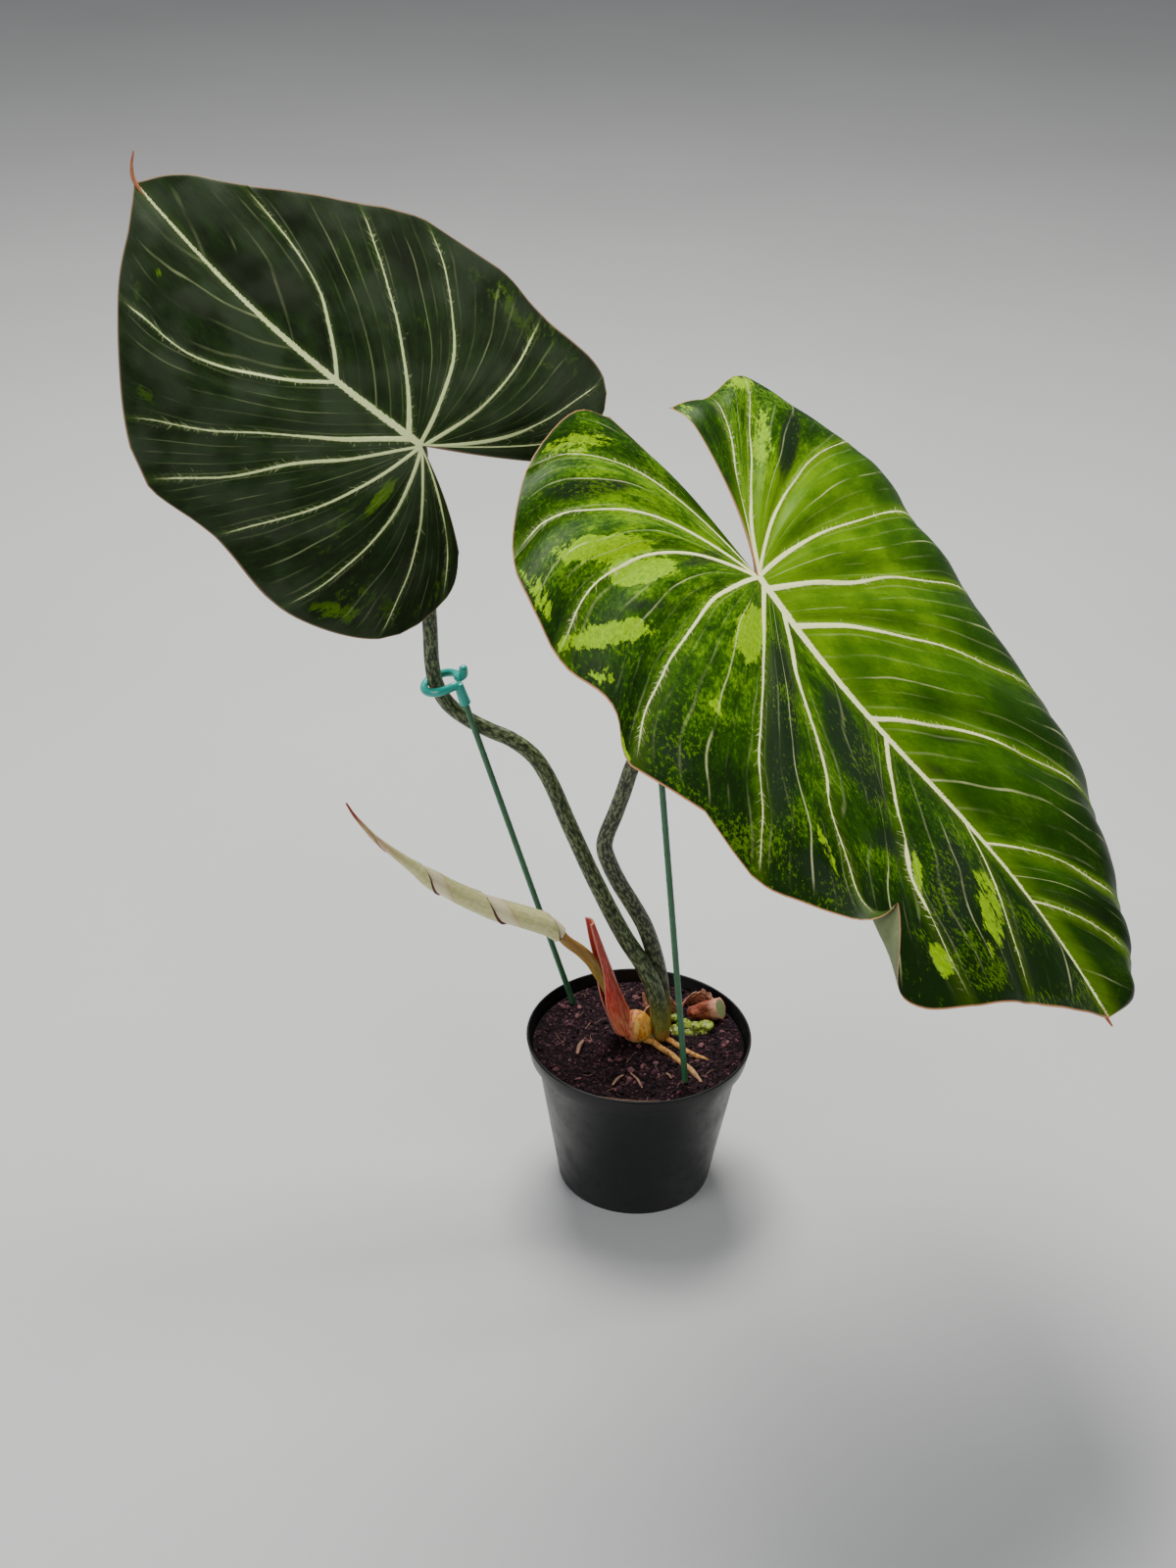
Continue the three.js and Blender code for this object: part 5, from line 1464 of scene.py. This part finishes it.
# %% Fibres on the mix
FIBRE_TONES = ((0.36, (0.07, 0.03, 0.02)), (0.64, (0.4, 0.22, 0.14)))
fibre_skin, _, straw = streaked("fibre_skin", FIBRE_TONES, 0.8, 6, 1.2)
fibre_skin.colour(straw)
fibres = [
    # a path over the mix, and the fibre's radius
    ([(-38, -15, 99), (-36.6, -8, 100), (-34.5, -1, 99)], 1.5),
    ([(-16, -45, 98.8), (-13, -40, 99.8), (-9.5, -35, 98.8)], 1.1),
    ([(-5, -33, 99), (-1, -40, 99.8), (2, -47, 98.6)], 0.9),
    ([(17, -32, 98.8), (18.6, -34.6, 99.4), (20, -37, 98.8)], 0.9),
    ([(-24, -56, 98.2), (-12, -60.5, 99.8), (2, -61, 99.4), (13, -58, 98)], 0.45),
]
for _ in range(26):
    reach, turn, heading = 61 * math.sqrt(draw.random()), draw.uniform(0, 6.28), draw.uniform(0, 6.28)
    x, y, path = reach * math.cos(turn), reach * math.sin(turn), []
    for _ in range(4):
        if math.hypot(x, y) < 63.5:
            path.append((x, y, soil_height(x, y) + draw.uniform(0.1, 1.1)))
        heading += draw.uniform(-0.7, 0.7)
        x, y = x + 3.2 * math.cos(heading), y + 3.2 * math.sin(heading)
    if len(path) > 2:
        fibres.append((path, draw.uniform(0.14, 0.28)))


def fibre_radius(size):
    """Thin at both ends, and flat."""
    return lambda share, angle: (
        size * (1 - 0.35 * abs(2 * share - 1)) * (1 - 0.45 * math.sin(angle) ** 2))


bm = bmesh.new()
for path, size in fibres:
    bar(bm, SmoothLine(path, 60), fibre_radius(size), sides=8, steps=12, cap=0.4)
make_piece("fibres", bm, [fibre_skin], ("soil",))

# %% The knobbly lime-green nodes by the stem
NODE_SHAPE = Vector((1.15, 1.05, 0.8))
nodes = [  # centre and size
    ((23, 23, 100.6), 3.2), ((28.5, 16.5, 100.4), 4.2), ((35, 14.5, 100.6), 3.3), ((42.5, 16, 100.2), 4.0),
]
bm = bmesh.new()
flow = bm.verts.layers.float_vector.new("flow")
for (x, y, z), size in nodes:
    made = bmesh.ops.create_icosphere(bm, subdivisions=3, radius=1)
    for vert in made["verts"]:
        unit = vert.co.normalized()
        coarse = noise.noise(unit * 1.6 + Vector((x, y, 0)))
        knob = 1 + 0.3 * coarse + 0.1 * noise.noise(unit * 5 + Vector((y, x, 0)))
        vert[flow] = unit * size
        vert.co = (Vector((x, y, z)) + unit * NODE_SHAPE * size * knob) * MM
make_piece("stem_nodes", bm, [stem_skin], ("rhizome",))

# %% [markdown]
# ## Stakes and clips
# Each stake is a thin steel wire in a green plastic coat with small nubs, so that a clip doesn't
# slide on it. The clip is a soft glossy hook: a sleeve that sits on the stake's end and an open
# ring that goes round the stalk. The clip is modelled upright at the origin and its mesh is then
# moved on to the stake, so that the object itself stays at the origin.

# %% Their finishes
COAT_TONES = ((0.3, (0.02, 0.085, 0.035)), (0.7, (0.05, 0.19, 0.085)))
stake_coat, _, coat_green = streaked("stake_coat", COAT_TONES, 0.42, 30, 0.6, 0.5, 0.06)
coat_dust = stake_coat.grain(stake_coat.place(), 0.35, 5, 0.7).ease(0.55, 0.72, 0, 0.4)
stake_coat.colour(stake_coat.blend(coat_dust, coat_green, (0.12, 0.15, 0.1)))
clip_plastic = Finish("clip_plastic", roughness=0.22, specular_ior_level=0.6)
flowlines = clip_plastic.grain(clip_plastic.place("flow", (1, 1, 0.2)), 0.5, 3)
clip_plastic.colour(flowlines.ramp((0.3, (0.008, 0.26, 0.21)), (0.7, (0.02, 0.42, 0.35))))
clip_plastic.roughness(flowlines.ease(0.3, 0.7, 0.18, 0.34))
clip_plastic.bump(flowlines, 0.05, 0.6)
print("green coat and teal plastic mixed")

# %% Stakes and clips
STAKE_RADIUS = 2.0
NUBS = 34
RING_RADIUS = 10.7
RING_MIDDLE = 12.8
stake_plans = {
    # foot, head, and the middle of the clip's ring
    "left": ((-27, 42.3, 50), (-112.8, 33.2, 329), (-126.5, 41, 330)),
    "right": ((33.2, -41, 52), (2.7, -25.4, 338), (5, -13, 339)),
}


def stake_radius(share, angle):
    nub = max(0.0, math.sin(2 * math.pi * share * NUBS)) ** 12
    facing = max(0.0, math.cos(2 * angle + math.pi * (int(share * NUBS) % 2)))
    return STAKE_RADIUS - 0.12 + 0.16 * nub * facing


def clip_mesh(bm):
    """The clip, upright on the end of its stake, with its ring towards +X."""
    sleeve = [(0, 0, -12), (0, 0, -5), (0, 0, 1.5)]
    bar(bm, SmoothLine(sleeve), lambda share, angle: 3.4 - 0.7 * share, sides=32, steps=24, cap=0.3)
    ring = [(0, 0, -5), (0, 0.1, -0.6), (1.0, 1.9, 1.4)]
    for i in range(11):
        angle = math.radians(150 - 29.5 * i)
        ring.append((RING_MIDDLE + RING_RADIUS * math.cos(angle), RING_RADIUS * math.sin(angle), 1.6))
    ring += [(1.6, -8.2, 2.6), (0.4, -8.6, 7)]
    wire = lambda share, angle: 2.5 * (1 + 0.05 * math.cos(2 * angle))
    bar(bm, SmoothLine(ring), wire, sides=28, steps=200, cap=0.8)


for side, (foot, head, ring_centre) in stake_plans.items():
    bm = bmesh.new()
    bar(bm, SmoothLine([foot, head]), stake_radius, sides=20, steps=340, cap=0.5)
    make_piece(f"stake_{side}_coated", bm, [stake_coat], (f"stake_{side}",))
    axis = (Vector(head) - Vector(foot)).normalized()
    towards = Vector(ring_centre) - Vector(head)
    towards = (towards - axis * towards.dot(axis)).normalized()
    turn = Matrix((towards, axis.cross(towards), axis)).transposed().to_4x4()
    bm = bmesh.new()
    clip_mesh(bm)
    bmesh.ops.transform(bm, matrix=Matrix.Translation(Vector(head) * MM) @ turn, verts=bm.verts[:])
    make_piece(f"clip_{side}_hook", bm, [clip_plastic], (f"clip_{side}",))
